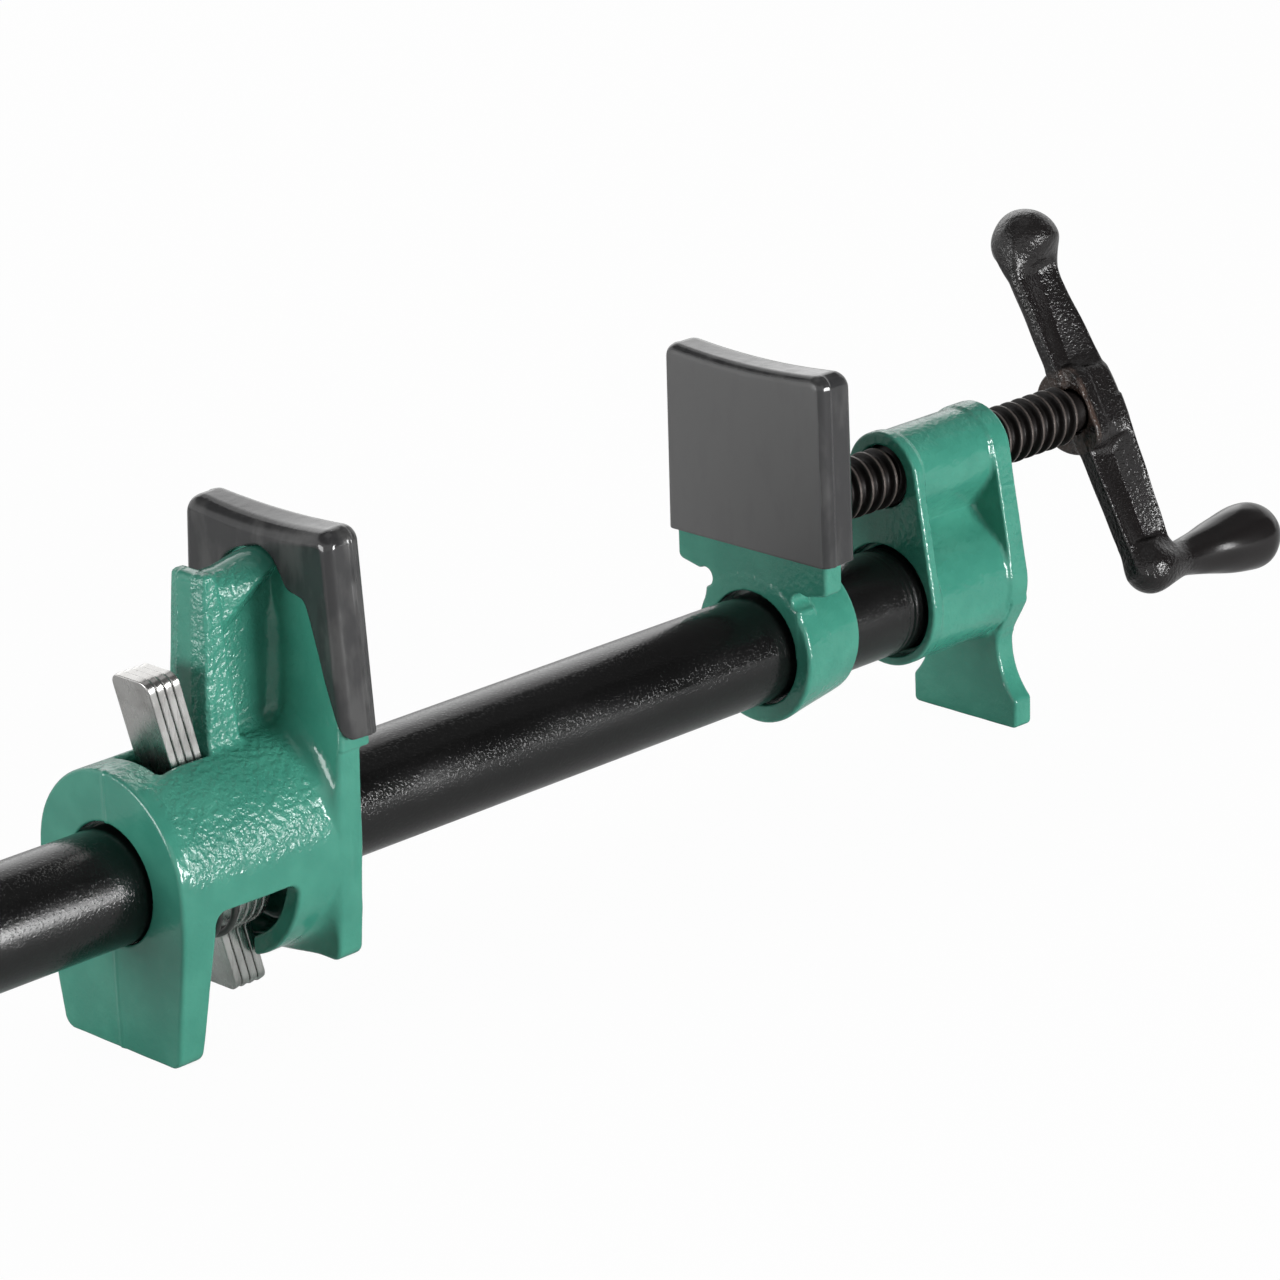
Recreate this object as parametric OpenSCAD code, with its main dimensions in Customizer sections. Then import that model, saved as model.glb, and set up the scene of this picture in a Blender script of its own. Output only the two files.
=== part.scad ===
// Woodworking pipe clamp on a black iron pipe: a screw head at one end, a sliding tail jaw with
// clutch plates at the other. +X runs along the pipe towards the crank, +Z is up, and the origin
// is the middle of the head's foot, on the bench.

/* [Pipe] */
// Outside diameter of the pipe
pipe_d = 26.7; // [24:0.1:28]
// Inside diameter of the pipe
pipe_bore_d = 20.9; // [15:0.1:22]
// Length of the pipe
pipe_len = 457.2; // [360:0.1:900]
// Bevel at the pipe's ends
pipe_bevel = 1.2; // [0.4:0.1:1.6]
// Height of the pipe's axis above the bench
axis_h = 38.5; // [36:0.1:55]
// How far the pipe's end stays inside the head's rear face
pipe_inset = 3; // [0.5:0.1:8]

/* [Head] */
// Length of the head along the pipe
head_len = 35.4; // [30:0.1:50]
// Wall of the head around the pipe
head_pipe_wall = 3.5; // [2.5:0.1:5]
// Wall of the head around the screw's hole
head_screw_wall = 3.5; // [2.5:0.1:5]
// Height of the screw's axis above the pipe's axis
screw_rise = 32.3; // [29:0.1:40]
// Thickness of the head's front rim
head_front_rim = 3.2; // [2:0.1:6]
// Thickness of the web between the screw and the pipe
head_web_t = 8; // [5:0.1:14]
// Thickness of the head's foot and rear rim
head_foot_t = 6.2; // [4:0.1:9]
// Width of the head's foot
head_foot_w = 34.6; // [28:0.1:44]
// Width of the neck above the head's foot
head_neck_w = 23; // [18:0.1:27]
// Radius of the flare between neck and foot
head_flare_r = 19.8; // [17:0.1:24]
// Depth of the relief at the mouth of the pipe socket
socket_mouth_depth = 4; // [1:0.1:8]
// Extra radius of the relief at the mouth of the pipe socket
socket_mouth_gap = 1.25; // [0.4:0.05:1.5]

/* [Screw] */
// Outside diameter of the screw thread
screw_d = 15.2; // [14:0.1:17]
// Pitch of the screw thread
thread_pitch = 4.233; // [3.5:0.001:6]
// Depth of the screw thread
thread_depth = 1.7; // [1:0.1:2.2]
// Bare screw between the head and the crank
screw_out = 25.7; // [12:0.1:60]
// Gap between the head and the back of the sliding jaw
jaw_back_gap = 22; // [8:0.1:60]
// Diameter of the plain journal at the screw's nose
journal_d = 11.2; // [9:0.1:11.4]
// Length of the journal
journal_len = 14; // [11:0.1:16]
// Width of the groove in the journal
groove_w = 3.4; // [3.2:0.1:4]
// Depth of the groove in the journal
groove_depth = 1.5; // [1:0.1:2]
// Square of the tenon that carries the crank
tenon_w = 9.4; // [7:0.1:9.8]
// How far the riveted end of the screw spreads over the tenon's corners
rivet_lip = 0.4; // [0.2:0.1:1.2]
// Height of the riveted end of the screw
rivet_h = 2.2; // [1:0.1:3]
// Diameter of the two roll pins that hold the screw in the jaw
pin_d = 3; // [2:0.1:3.1]
// Bore of the roll pins
pin_bore_d = 1.8; // [1:0.1:1.9]

/* [Crank] */
// Tilt of the crank away from upright
crank_tilt = 27.5; // [0:0.5:60]
// Distance from the hub to the middle of the knob
knob_reach = 45.5; // [36:0.1:60]
// Distance from the hub to the middle of the grip
grip_reach = 44.6; // [36:0.1:60]
// Diameter of the knob at the upper arm's end
knob_d = 17.8; // [15:0.1:22]
// Diameter of the ball at the end of the grip
grip_ball_d = 17.8; // [14:0.1:22]
// Diameter of the grip's neck
grip_neck_d = 11.4; // [9:0.1:13]
// Length of the grip from the arm to the middle of its ball
grip_len = 38.5; // [30:0.1:60]
// Thickness of the arms along the screw, at the hub
arm_t_hub = 15.5; // [12:0.1:18]
// Thickness of the arms along the screw, at their ends
arm_t_end = 12.6; // [10:0.1:13]
// Width of the arms across the screw
arm_w = 8.2; // [7:0.1:11]
// Depth of the channel in each side of the arms
channel_depth = 2.2; // [1:0.1:2.6]
// Width of the arm's edges beside the channel
channel_edge = 3.2; // [2:0.1:4]
// Diameter of the hub's collar
collar_d = 16.6; // [15.6:0.1:20]
// Greatest diameter of the hub
hub_d = 24; // [20:0.1:28]
// Length of the hub's cone in front of the arms
hub_cone_len = 9; // [5:0.1:14]

/* [Sliding jaw] */
// Length of the sliding jaw from face to back
jaw_len = 25; // [20:0.1:40]
// Thickness of the jaw plate under the pad
jaw_plate_t = 7.7; // [6:0.1:9]
// Thickness of the jaw plate below the pad
jaw_neck_t = 6; // [4:0.1:7]
// Width of the jaw plate
jaw_plate_w = 50; // [46:0.1:60]
// Height of the jaw plate's top above the pipe's axis
jaw_top = 71.7; // [64:0.1:84]
// Height of the jaw plate's lower edge above the pipe's axis
jaw_plate_bottom = 17.6; // [16:0.1:20]
// Wall of the sliding jaw's ring around the pipe
jaw_ring_wall = 4.7; // [3:0.1:6]
// Clearance around the pipe in the sliding jaw's bore
jaw_bore_gap = 1.25; // [0.8:0.05:1.6]
// Length of the sliding jaw's ring
jaw_ring_len = 18; // [12:0.1:19]
// Width of the boss that holds the screw's nose
jaw_boss_w = 19.4; // [18:0.1:24]
// Radius of the notch between plate and ring
jaw_notch_r = 2.4; // [1.5:0.1:3]
// Thickness of the rib above the jaw's boss
jaw_rib_t = 8; // [4:0.1:12]
// Depth of that rib at its top
jaw_rib_top_depth = 4.6; // [2:0.1:8]

/* [Pads] */
// Skin of the dipped pads
pad_skin = 1.6; // [1:0.1:2.5]
// Height of the pads' lower edge above the pipe's axis
pad_bottom = 26.2; // [22:0.1:32]
// Radius of the pads' upper corners
pad_corner_r = 3; // [2:0.1:5]
// How far the shoulder of the opening in the pads' backs lies below the plate's top
pad_shoulder_drop = 15; // [12:0.1:18]
// Width of the lobes beside the opening in the pads' backs
pad_lobe_w = 2.6; // [2:0.1:5]
// Room between a jaw's rib and the arch of the opening in the pad's back
pad_arch_gap = 3; // [2:0.1:4]
// Opening between the two pads
jaw_opening = 142.5; // [60:0.5:150]

/* [Tail jaw] */
// Length of the tail jaw's housing along the pipe
tail_len = 52.3; // [48:0.1:70]
// Thickness of the tail's back wall
tail_back_t = 9.8; // [7:0.1:11]
// Thickness of the tail's front wall
tail_front_t = 7.3; // [5:0.1:9]
// Length of the full ring behind the front wall
tail_ring_len = 12; // [8:0.1:14]
// Clearance of the clutch plates inside the housing
tail_cavity_gap = 1.8; // [1.6:0.1:3]
// Wall of the housing
tail_wall = 4.4; // [3:0.1:5]
// Height of the middle of the housing's upper arch above the pipe's axis
tail_r_rise = 2.2; // [0:0.1:3]
// Depth of the middle of the housing's lower arch below the pipe's axis
tail_r_drop = 1.6; // [1:0.1:3]
// Width of the tail's foot at the bench
tail_foot_w = 39; // [32:0.1:46]
// Thickness of the tail's foot at the bench
tail_foot_t = 7.2; // [5:0.1:9.8]
// Width of the tail's jaw plate at its top
tail_top_w = 44.4; // [40:0.1:50]
// Width of the tail's jaw plate at the pad's lower edge
tail_plate_w = 50.4; // [46:0.1:56]
// Depth of the barrel's lower edges behind the ring, below the pipe's axis
tail_open_drop = 3.5; // [2:0.1:6]
// Width of the front wall at its lower edge
tail_low_w = 45; // [38:0.1:48]
// Depth of the front wall's lower edge below the pipe's axis
tail_low_drop = 23.2; // [20:0.1:27]
// Thickness of the tail's jaw plate under the pad
tail_plate_t = 6.8; // [5:0.1:8]
// How far the jaw plate stands in front of the front wall
tail_plate_step = 2.7; // [0:0.1:3.5]
// Height of the rib's top above the pipe's axis
rib_top = 65; // [58:0.1:70]
// Width of the rib's back
rib_w = 12.4; // [9:0.1:14]
// Thickness of the rib's cap at the jaw plate
rib_cap_t = 3; // [2:0.1:6]
// Depth of the rib's cap behind its back edge
rib_cap_foot = 10.5; // [6:0.1:14]
// Depth of the rib's back edge at its top
rib_edge_top = 4.6; // [3:0.1:8]
// Depth of the rib's back edge at its foot
rib_edge_low = 10.4; // [7:0.1:12]
// Thickness of the web between the rib and the jaw plate
rib_web_t = 5; // [3:0.1:7]
// How far the rib's back leans forward from foot to top
rib_lean = 2.9; // [0:0.1:4]
// Length of the slot for the clutch plates' upper tabs
slot_len = 14.3; // [13:0.1:18]
// Clearance beside the tabs in the slot
slot_side_gap = 0.9; // [0.4:0.1:1.5]
// Clearance around the pipe in the castings' bores
bore_gap = 0.95; // [0.6:0.05:1.2]

/* [Clutch] */
// Thickness of each clutch plate
plate_t = 2.1; // [1.6:0.1:2.4]
// Gap between clutch plates
plate_gap = 0.1; // [0.08:0.01:0.2]
// Tilt of the clutch plates when they grip
plate_tilt = 14.2; // [10:0.1:16]
// Width of the plates' tabs
tab_w = 12.6; // [9:0.1:14]
// Height of the upper tabs above the pipe's axis
tab_top = 45.6; // [38:0.1:50]
// Depth of the lower tabs below the pipe's axis
tab_bottom = 32.4; // [28:0.1:34]
// Clearance of the plates' hole around the pipe
plate_hole_gap = 1.05; // [1:0.01:1.2]
// Width of the plates' ring around their hole
plate_ring_w = 3.8; // [3:0.1:5]
// Gap between the clutch spring and the housing
spring_wall_gap = 1.1; // [0.9:0.1:3]
// Wire of the clutch spring
spring_wire = 1.6; // [1.2:0.1:2]

/* [Hidden] */

$fn = 72;
casting_green = "mediumseagreen";
pad_grey = "dimgray";
iron_black = [0.12, 0.12, 0.12];
bright_steel = "silver";

// Radii that the fits share
pipe_r = pipe_d / 2;
screw_r = screw_d / 2;
screw_z = axis_h + screw_rise;
overrun = 1;                  // how far a cut runs past the face that it leaves
sink = 1;                     // how far one part of a casting runs into the next
socket_fit = 0.05;            // radial fit of the pipe in the head's socket
thread_gap = 0.3;             // radial clearance of the screw in the head
journal_fit = 0.08;           // radial running fit of the journal in the jaw
pin_fit = 0.02;               // radial fit of the retaining pin in its hole
groove_gap = 0.15;            // clearance between the pin and the groove's floor
tenon_fit = 0.1;              // clearance of the tenon in the crank's square hole
pad_fit = 0.15;               // clearance between a pad and the plate inside it
seat_gap = 0.3;               // clearance between parts that only rest near each other

// Places along the pipe, from the crank back to the tail
head_back_x = head_foot_t / 2;
head_front_x = head_back_x - head_len;
jaw_back_x = head_front_x - jaw_back_gap;
jaw_face_x = jaw_back_x - jaw_len;
slide_pad_x = jaw_face_x - pad_skin - pad_fit;
tail_pad_x = slide_pad_x - jaw_opening;
tail_plate_x = tail_pad_x - pad_skin - pad_fit;
tail_front_x = tail_plate_x - tail_plate_step;
tail_back_x = tail_front_x - tail_len;
pipe_end_x = head_back_x - pipe_inset;
crank_front_x = head_back_x + screw_out;

// Head sizes
head_low_r = pipe_r + head_pipe_wall;
head_top_r = screw_r + thread_gap + head_screw_wall;
// Rise of the straight sides that touch both of the head's round bosses
head_side_angle = asin((head_low_r - head_top_r) / screw_rise);

// Screw sizes
thread_x0 = jaw_back_x + seat_gap;
thread_len = crank_front_x - thread_x0;
groove_place_share = 1 / 3;   // share of the journal's length where its groove lies
nose_x = thread_x0 - seat_gap - journal_len;
groove_x = nose_x + journal_len * groove_place_share;
groove_r = journal_d / 2 - groove_depth;
pin_drop = groove_r + groove_gap + pin_d / 2;
pin_slot_w = pin_bore_d / 3;
rivet_d = sqrt(2) * tenon_w + 2 * rivet_lip;
rivet_top_share = 0.6;        // share of the rivet's diameter at its crown
thread_sides = 16;
thread_rows = 8;              // rings of points in one pitch
// Radius share of the thread at each row of one pitch: crest, flank, root, flank
thread_row_shares = [1, 1, 1, 1, 0, 0, 0, 0];

// Crank sizes
arm_x = crank_front_x + hub_cone_len + arm_t_hub / 2 + seat_gap;
hub_back_len = arm_t_hub + seat_gap;
pocket_start = hub_d / 2 + channel_edge;
pocket_end_gap = channel_edge;

// Pad sizes
pad_back_gap = pad_skin + pad_fit;
jaw_boss_r = jaw_boss_w / 2;
jaw_bore_r = pipe_r + jaw_bore_gap;
jaw_ring_r = jaw_bore_r + jaw_ring_wall;
jaw_notch_share = 0.82;       // share of the ring's radius where the plate's notches lie
jaw_notch_y = jaw_ring_r * jaw_notch_share;
jaw_rib_top = jaw_top - pad_shoulder_drop - seat_gap;
jaw_rib_x = jaw_face_x + jaw_plate_t;

// Tail sizes
tail_bore_r = pipe_r + bore_gap;
plate_hole_r = pipe_r + plate_hole_gap;
plate_r = plate_hole_r + plate_ring_w;
cavity_r = plate_r + tail_cavity_gap;
tail_r = cavity_r + tail_wall;
cavity_x0 = tail_back_x + tail_back_t;
cavity_x1 = tail_front_x - tail_front_t;
ring_x = cavity_x1 - tail_ring_len;
plate_back_x = tail_plate_x - tail_plate_t;

// Clutch sizes, with the plates on a slant that brings the last one against the slot's front edge
plate_pitch_x = (plate_t + plate_gap) / cos(plate_tilt);
plate_step_x = plate_t / cos(plate_tilt);
slot_front_x = cavity_x0 + slot_len;
slot_w = tab_w + 2 * slot_side_gap;
// Height of the rib's foot, sunk in the barrel's wall
rib_foot_z = axis_h + tail_r_rise + sqrt(tail_r * tail_r - rib_w * rib_w / 4) - tail_wall / 2;
// Height of the slot's lower edge, which the last plate leans on
slot_low_z = tail_r_rise + sqrt(cavity_r * cavity_r - slot_w * slot_w / 4);
slot_gap = 0.1;               // clearance of the last plate at the slot's front edge
// Middle of the last plate on the pipe's axis
plate_4_x = slot_front_x - slot_gap - plate_step_x / 2 + slot_low_z * tan(plate_tilt);
notch_x = plate_4_x + plate_step_x + (tail_r + tail_r_drop) * tan(plate_tilt);
spring_x0 = cavity_x0 + seat_gap;
spring_r = cavity_r - spring_wall_gap - spring_wire / 2;
plate_1_back_x = plate_4_x - 3 * plate_pitch_x - plate_step_x / 2;

module along_x(x) translate([x, 0, axis_h]) rotate([90, 0, 90]) children();

module tube_x(x, len, r, z = 0)
    translate([x, 0, axis_h + z]) rotate([0, 90, 0]) cylinder(h = len, r = r);

// The black iron pipe, with bevelled ends
module pipe()
    color(iron_black) translate([pipe_end_x, 0, axis_h]) rotate([0, -90, 0]) rotate_extrude()
        polygon([[pipe_bore_d / 2, 0], [pipe_r - pipe_bevel, 0], [pipe_r, pipe_bevel],
                 [pipe_r, pipe_len - pipe_bevel], [pipe_r - pipe_bevel, pipe_len],
                 [pipe_bore_d / 2, pipe_len]]);

// Outline of the head, as seen along the pipe: two round bosses and the straight sides between
module head_outline() {
    low = [head_low_r * cos(head_side_angle), head_low_r * sin(head_side_angle)];
    top = [head_top_r * cos(head_side_angle), screw_rise + head_top_r * sin(head_side_angle)];
    circle(r = head_low_r);
    translate([0, screw_rise]) circle(r = head_top_r);
    polygon([[-low[0], low[1]], [low[0], low[1]], [top[0], top[1]], [-top[0], top[1]]]);
}

// Outline of the head's foot: a neck that flares to a straight-sided sole
module head_foot_outline() difference() {
    translate([-head_foot_w / 2, -axis_h]) square([head_foot_w, axis_h]);
    for (side = [-1, 1])
        translate([side * (head_neck_w / 2 + head_flare_r), -head_low_r])
            circle(r = head_flare_r);
    for (side = [-1, 1])
        translate([side * (head_neck_w + head_foot_w) / 2 - head_foot_w / 2, -head_low_r])
            square([head_foot_w, head_low_r + overrun]);
}

module head_casting()
    color(casting_green) difference() {
        union() {
            along_x(head_front_x) linear_extrude(head_front_rim) head_outline();
            along_x(head_back_x - head_foot_t) linear_extrude(head_foot_t) head_outline();
            along_x(head_back_x - head_foot_t) linear_extrude(head_foot_t) head_foot_outline();
            tube_x(head_front_x, head_len, head_low_r);
            tube_x(head_front_x, head_len, head_top_r, screw_rise);
            translate([head_front_x, -head_web_t / 2, axis_h])
                cube([head_len, head_web_t, screw_rise]);
        }
        tube_x(head_front_x - overrun, head_len + 2 * overrun, pipe_r + socket_fit);
        tube_x(head_front_x - overrun, socket_mouth_depth + overrun, pipe_r + socket_mouth_gap);
        tube_x(head_front_x - overrun, head_len + 2 * overrun, screw_r + thread_gap, screw_rise);
    }

// One point of the thread's surface: a ring of points whose radius follows the helix
function thread_share(turns) =
    let (row = (turns - floor(turns)) * thread_rows, low = floor(row), t = row - low)
    thread_row_shares[low % thread_rows] * (1 - t)
        + thread_row_shares[(low + 1) % thread_rows] * t;
function thread_r(x, angle) =
    let (fade = min(1, x / thread_pitch, (thread_len - x) / thread_pitch))
    screw_r - thread_depth * (1 - thread_share(x / thread_pitch - angle / 360) * fade);

// The thread as one closed skin of rings
module thread_body() {
    rows = ceil(thread_len / thread_pitch * thread_rows);
    points = [for (i = [0:rows], j = [0:thread_sides - 1])
        let (x = thread_len * i / rows, a = 360 * j / thread_sides, r = thread_r(x, a))
        [thread_x0 + x, -r * sin(a), screw_z + r * cos(a)]];
    sides = [for (i = [0:rows - 1], j = [0:thread_sides - 1])
        let (k = (j + 1) % thread_sides, a = i * thread_sides, b = a + thread_sides)
        each [[a + j, b + j, b + k], [a + j, b + k, a + k]]];
    ends = [[for (j = [0:thread_sides - 1]) j],
            [for (j = [0:thread_sides - 1]) (rows + 1) * thread_sides - 1 - j]];
    polyhedron(points, concat(sides, ends), convexity = 10);
}

module main_screw()
    color(iron_black) {
        thread_body();
        // Journal with the pin's groove, and a shoulder under the thread
        translate([nose_x, 0, screw_z]) rotate([0, 90, 0]) difference() {
            cylinder(h = thread_x0 - nose_x, d = journal_d);
            translate([0, 0, groove_x - nose_x - groove_w / 2]) difference() {
                cylinder(h = groove_w, d = journal_d + overrun);
                translate([0, 0, -overrun]) cylinder(h = groove_w + 2 * overrun, r = groove_r);
            }
        }
        // Square tenon through the crank, riveted over at the back
        translate([crank_front_x, -tenon_w / 2, screw_z - tenon_w / 2])
            cube([arm_x + hub_back_len / 2 - crank_front_x + tenon_fit, tenon_w, tenon_w]);
        translate([arm_x + hub_back_len / 2 + tenon_fit, 0, screw_z]) rotate([0, 90, 0])
            cylinder(h = rivet_h, d1 = rivet_d, d2 = rivet_d * rivet_top_share);
    }

// A roll pin across the jaw's boss, tangent to the groove on the given side of the screw
module roll_pin(side) {
    // The boss is round on top, so the upper pin is shorter
    len = side > 0 ? 2 * sqrt(jaw_boss_r * jaw_boss_r - (pin_drop + pin_d / 2) ^ 2)
                   : jaw_boss_w - 2 * seat_gap;
    color(bright_steel) translate([groove_x, -len / 2, screw_z + side * pin_drop])
        rotate([-90, 0, 0]) difference() {
            cylinder(h = len, d = pin_d);
            translate([0, 0, -overrun]) cylinder(h = len + 2 * overrun, d = pin_bore_d);
            translate([0, -pin_slot_w / 2, -overrun])
                cube([pin_d, pin_slot_w, len + 2 * overrun]);
        }
}

// One arm of the crank, upright, from the hub to its end
module crank_arm(reach) {
    half = arm_t_hub / 2;
    tip = arm_t_end / 2;
    rotate([90, 0, 0]) difference() {
        linear_extrude(arm_w, center = true)
            polygon([[-half, 0], [half, 0], [tip, reach], [-tip, reach]]);
        for (side = [-1, 1])
            translate([0, 0, side * arm_w / 2])
                linear_extrude(2 * channel_depth, center = true)
                    polygon([[-half + channel_edge, pocket_start],
                             [half - channel_edge, pocket_start],
                             [tip - channel_edge, reach - pocket_end_gap - arm_t_end / 2],
                             [-tip + channel_edge, reach - pocket_end_gap - arm_t_end / 2]]);
    }
}

// Radius of the grip at a share of its length: a slim neck that swells into the ball
function grip_r(share) =
    let (s = share * share * (3 - 2 * share))
    grip_neck_d / 2 + (grip_ball_d - grip_neck_d) / 2 * grip_swell_share * s;
grip_swell_share = 0.9;       // share of the ball's radius that the neck swells to
grip_steps = 10;

module crank_grip() {
    rotate([0, 90, 0]) rotate_extrude()
        polygon(concat([[0, 0]],
            [for (i = [0:grip_steps]) [grip_r(i / grip_steps), grip_len * i / grip_steps]],
            [[0, grip_len]]));
    translate([grip_len, 0, 0]) sphere(d = grip_ball_d);
    sphere(d = arm_t_end);
}

module crank_handle()
    color(iron_black) translate([arm_x, 0, screw_z]) rotate([-crank_tilt, 0, 0])
        difference() {
            union() {
                crank_arm(knob_reach);
                mirror([0, 0, 1]) crank_arm(grip_reach);
                translate([0, 0, knob_reach]) sphere(d = knob_d);
                translate([0, 0, -grip_reach]) crank_grip();
                translate([-hub_cone_len - hub_back_len / 2, 0, 0]) rotate([0, 90, 0])
                    cylinder(h = hub_cone_len, d1 = collar_d, d2 = hub_d);
                translate([-hub_back_len / 2, 0, 0]) rotate([0, 90, 0])
                    cylinder(h = hub_back_len, d1 = hub_d, d2 = collar_d);
            }
            rotate([crank_tilt, 0, 0])
                translate([crank_front_x - arm_x - overrun, -tenon_w / 2 - tenon_fit,
                           -tenon_w / 2 - tenon_fit])
                    cube([arm_t_hub * 2 + hub_cone_len, tenon_w + 2 * tenon_fit,
                          tenon_w + 2 * tenon_fit]);
        }

// Plate outline below the pad, with the notches that set it off from the ring
module jaw_front_outline() {
    bottom_w = jaw_plate_w - 2 * jaw_notch_r;
    difference() {
        union() {
            polygon([[-jaw_plate_w / 2, jaw_top], [jaw_plate_w / 2, jaw_top],
                     [jaw_plate_w / 2, pad_bottom], [bottom_w / 2, jaw_plate_bottom],
                     [-bottom_w / 2, jaw_plate_bottom], [-jaw_plate_w / 2, pad_bottom]]);
            translate([-jaw_notch_y, 0]) square([2 * jaw_notch_y, jaw_plate_bottom]);
        }
        for (side = [-1, 1])
            translate([side * jaw_notch_y, jaw_plate_bottom - jaw_notch_r])
                circle(r = jaw_notch_r);
    }
}

module sliding_jaw()
    color(casting_green) difference() {
        union() {
            along_x(jaw_face_x) linear_extrude(jaw_neck_t) jaw_front_outline();
            translate([jaw_face_x, -jaw_plate_w / 2, axis_h + pad_bottom - pad_skin])
                cube([jaw_plate_t, jaw_plate_w, jaw_top - pad_bottom + pad_skin]);
            tube_x(jaw_face_x, jaw_ring_len, jaw_ring_r);
            // Boss for the screw's nose, standing on the ring
            tube_x(jaw_face_x, jaw_len, jaw_boss_r, screw_rise);
            translate([jaw_face_x, -jaw_boss_r, axis_h + jaw_plate_bottom])
                cube([jaw_len, jaw_boss_w, screw_rise - jaw_plate_bottom]);
            translate([jaw_face_x, -jaw_boss_r, axis_h])
                cube([jaw_ring_len, jaw_boss_w, screw_rise]);
            // Rib above the boss
            along_x_side(jaw_rib_t)
                polygon([[jaw_rib_x - sink, screw_z], [jaw_back_x - sink, screw_z],
                         [jaw_rib_x + jaw_rib_top_depth, axis_h + jaw_rib_top],
                         [jaw_rib_x - sink, axis_h + jaw_rib_top]]);
        }
        tube_x(jaw_face_x - overrun, jaw_len + 2 * overrun, jaw_bore_r);
        tube_x(nose_x - seat_gap, jaw_len, journal_d / 2 + journal_fit, screw_rise);
        for (side = [-1, 1])
            translate([groove_x, -jaw_plate_w, screw_z + side * pin_drop]) rotate([-90, 0, 0])
                cylinder(h = 2 * jaw_plate_w, r = pin_d / 2 + pin_fit);
    }

// A slab of the given width that lies along the pipe's plane of symmetry
module along_x_side(w) rotate([90, 0, 0]) linear_extrude(w, center = true) children();

// Outline of a pad, seen along the pipe, narrowing to its top with round upper corners
module pad_outline(low_w, top_w, top_z, grow) {
    low = low_w / 2 + grow;
    up = top_w / 2 + grow;
    top = top_z + grow;
    r = pad_corner_r;
    polygon([[-low, pad_bottom], [low, pad_bottom], [up, top - r], [up - r, top],
             [-up + r, top], [-up, top - r]]);
    for (side = [-1, 1]) translate([side * (up - r), top - r]) circle(r = r);
}

// Opening in the back of a pad: wide between the lobes, then a shoulder, then an arch that
// clears the rib, whose width and top are given
module pad_back_opening(low_w, top_z, rib, rib_z) {
    shoulder = top_z - pad_shoulder_drop;
    arch_r = rib / 2 + pad_arch_gap;
    arch_z = rib_z + seat_gap - sqrt(arch_r * arch_r - rib * rib / 4);
    low = low_w / 2 - pad_lobe_w;
    mid = arch_r + 2 * pad_corner_r;
    polygon([[-low, pad_bottom - overrun], [low, pad_bottom - overrun],
             [mid, shoulder - pad_corner_r], [mid - pad_corner_r, shoulder],
             [-mid + pad_corner_r, shoulder], [-mid, shoulder - pad_corner_r]]);
    translate([-arch_r, shoulder - overrun])
        square([2 * arch_r, max(overrun, arch_z - shoulder + overrun)]);
    translate([0, arch_z]) circle(r = arch_r);
}

// A dipped pad: the skin around a plate whose face is at x = 0 and whose back is at x = t
module pad_skin_shape(t, low_w, top_w, top_z, rib, rib_z)
    difference() {
        translate([-pad_back_gap, 0, 0]) rotate([90, 0, 90])
            linear_extrude(t + 2 * pad_back_gap)
                pad_outline(low_w, top_w, top_z, pad_back_gap);
        translate([-pad_fit, 0, 0]) rotate([90, 0, 90]) linear_extrude(t + 2 * pad_fit)
            polygon([[-low_w / 2 - pad_fit, pad_bottom - overrun],
                     [low_w / 2 + pad_fit, pad_bottom - overrun],
                     [top_w / 2 + pad_fit, top_z + pad_fit],
                     [-top_w / 2 - pad_fit, top_z + pad_fit]]);
        translate([t, 0, 0]) rotate([90, 0, 90]) linear_extrude(2 * pad_back_gap + overrun)
            pad_back_opening(low_w, top_z, rib, rib_z);
    }

module sliding_jaw_pad()
    color(pad_grey) translate([jaw_face_x, 0, axis_h])
        pad_skin_shape(jaw_plate_t, jaw_plate_w, jaw_plate_w, jaw_top, jaw_boss_w,
                       screw_rise + jaw_boss_r);

module tail_jaw_pad()
    color(pad_grey) translate([tail_plate_x, 0, axis_h]) mirror([1, 0, 0])
        pad_skin_shape(tail_plate_t, tail_plate_w, tail_top_w, jaw_top, rib_w, rib_top);

// Section of the tail's housing or of its cavity: two arches and straight sides between them
module housing_section(r) {
    translate([0, tail_r_rise]) circle(r = r);
    translate([0, -tail_r_drop]) circle(r = r);
    translate([-r, -tail_r_drop]) square([2 * r, tail_r_rise + tail_r_drop]);
}

// Outline of the tail's back wall, down to the sole of its foot
module tail_back_outline() {
    translate([0, tail_r_rise]) circle(r = tail_r);
    polygon([[-tail_r, tail_r_rise], [tail_r, tail_r_rise], [tail_foot_w / 2, -axis_h],
             [-tail_foot_w / 2, -axis_h]]);
}

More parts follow.
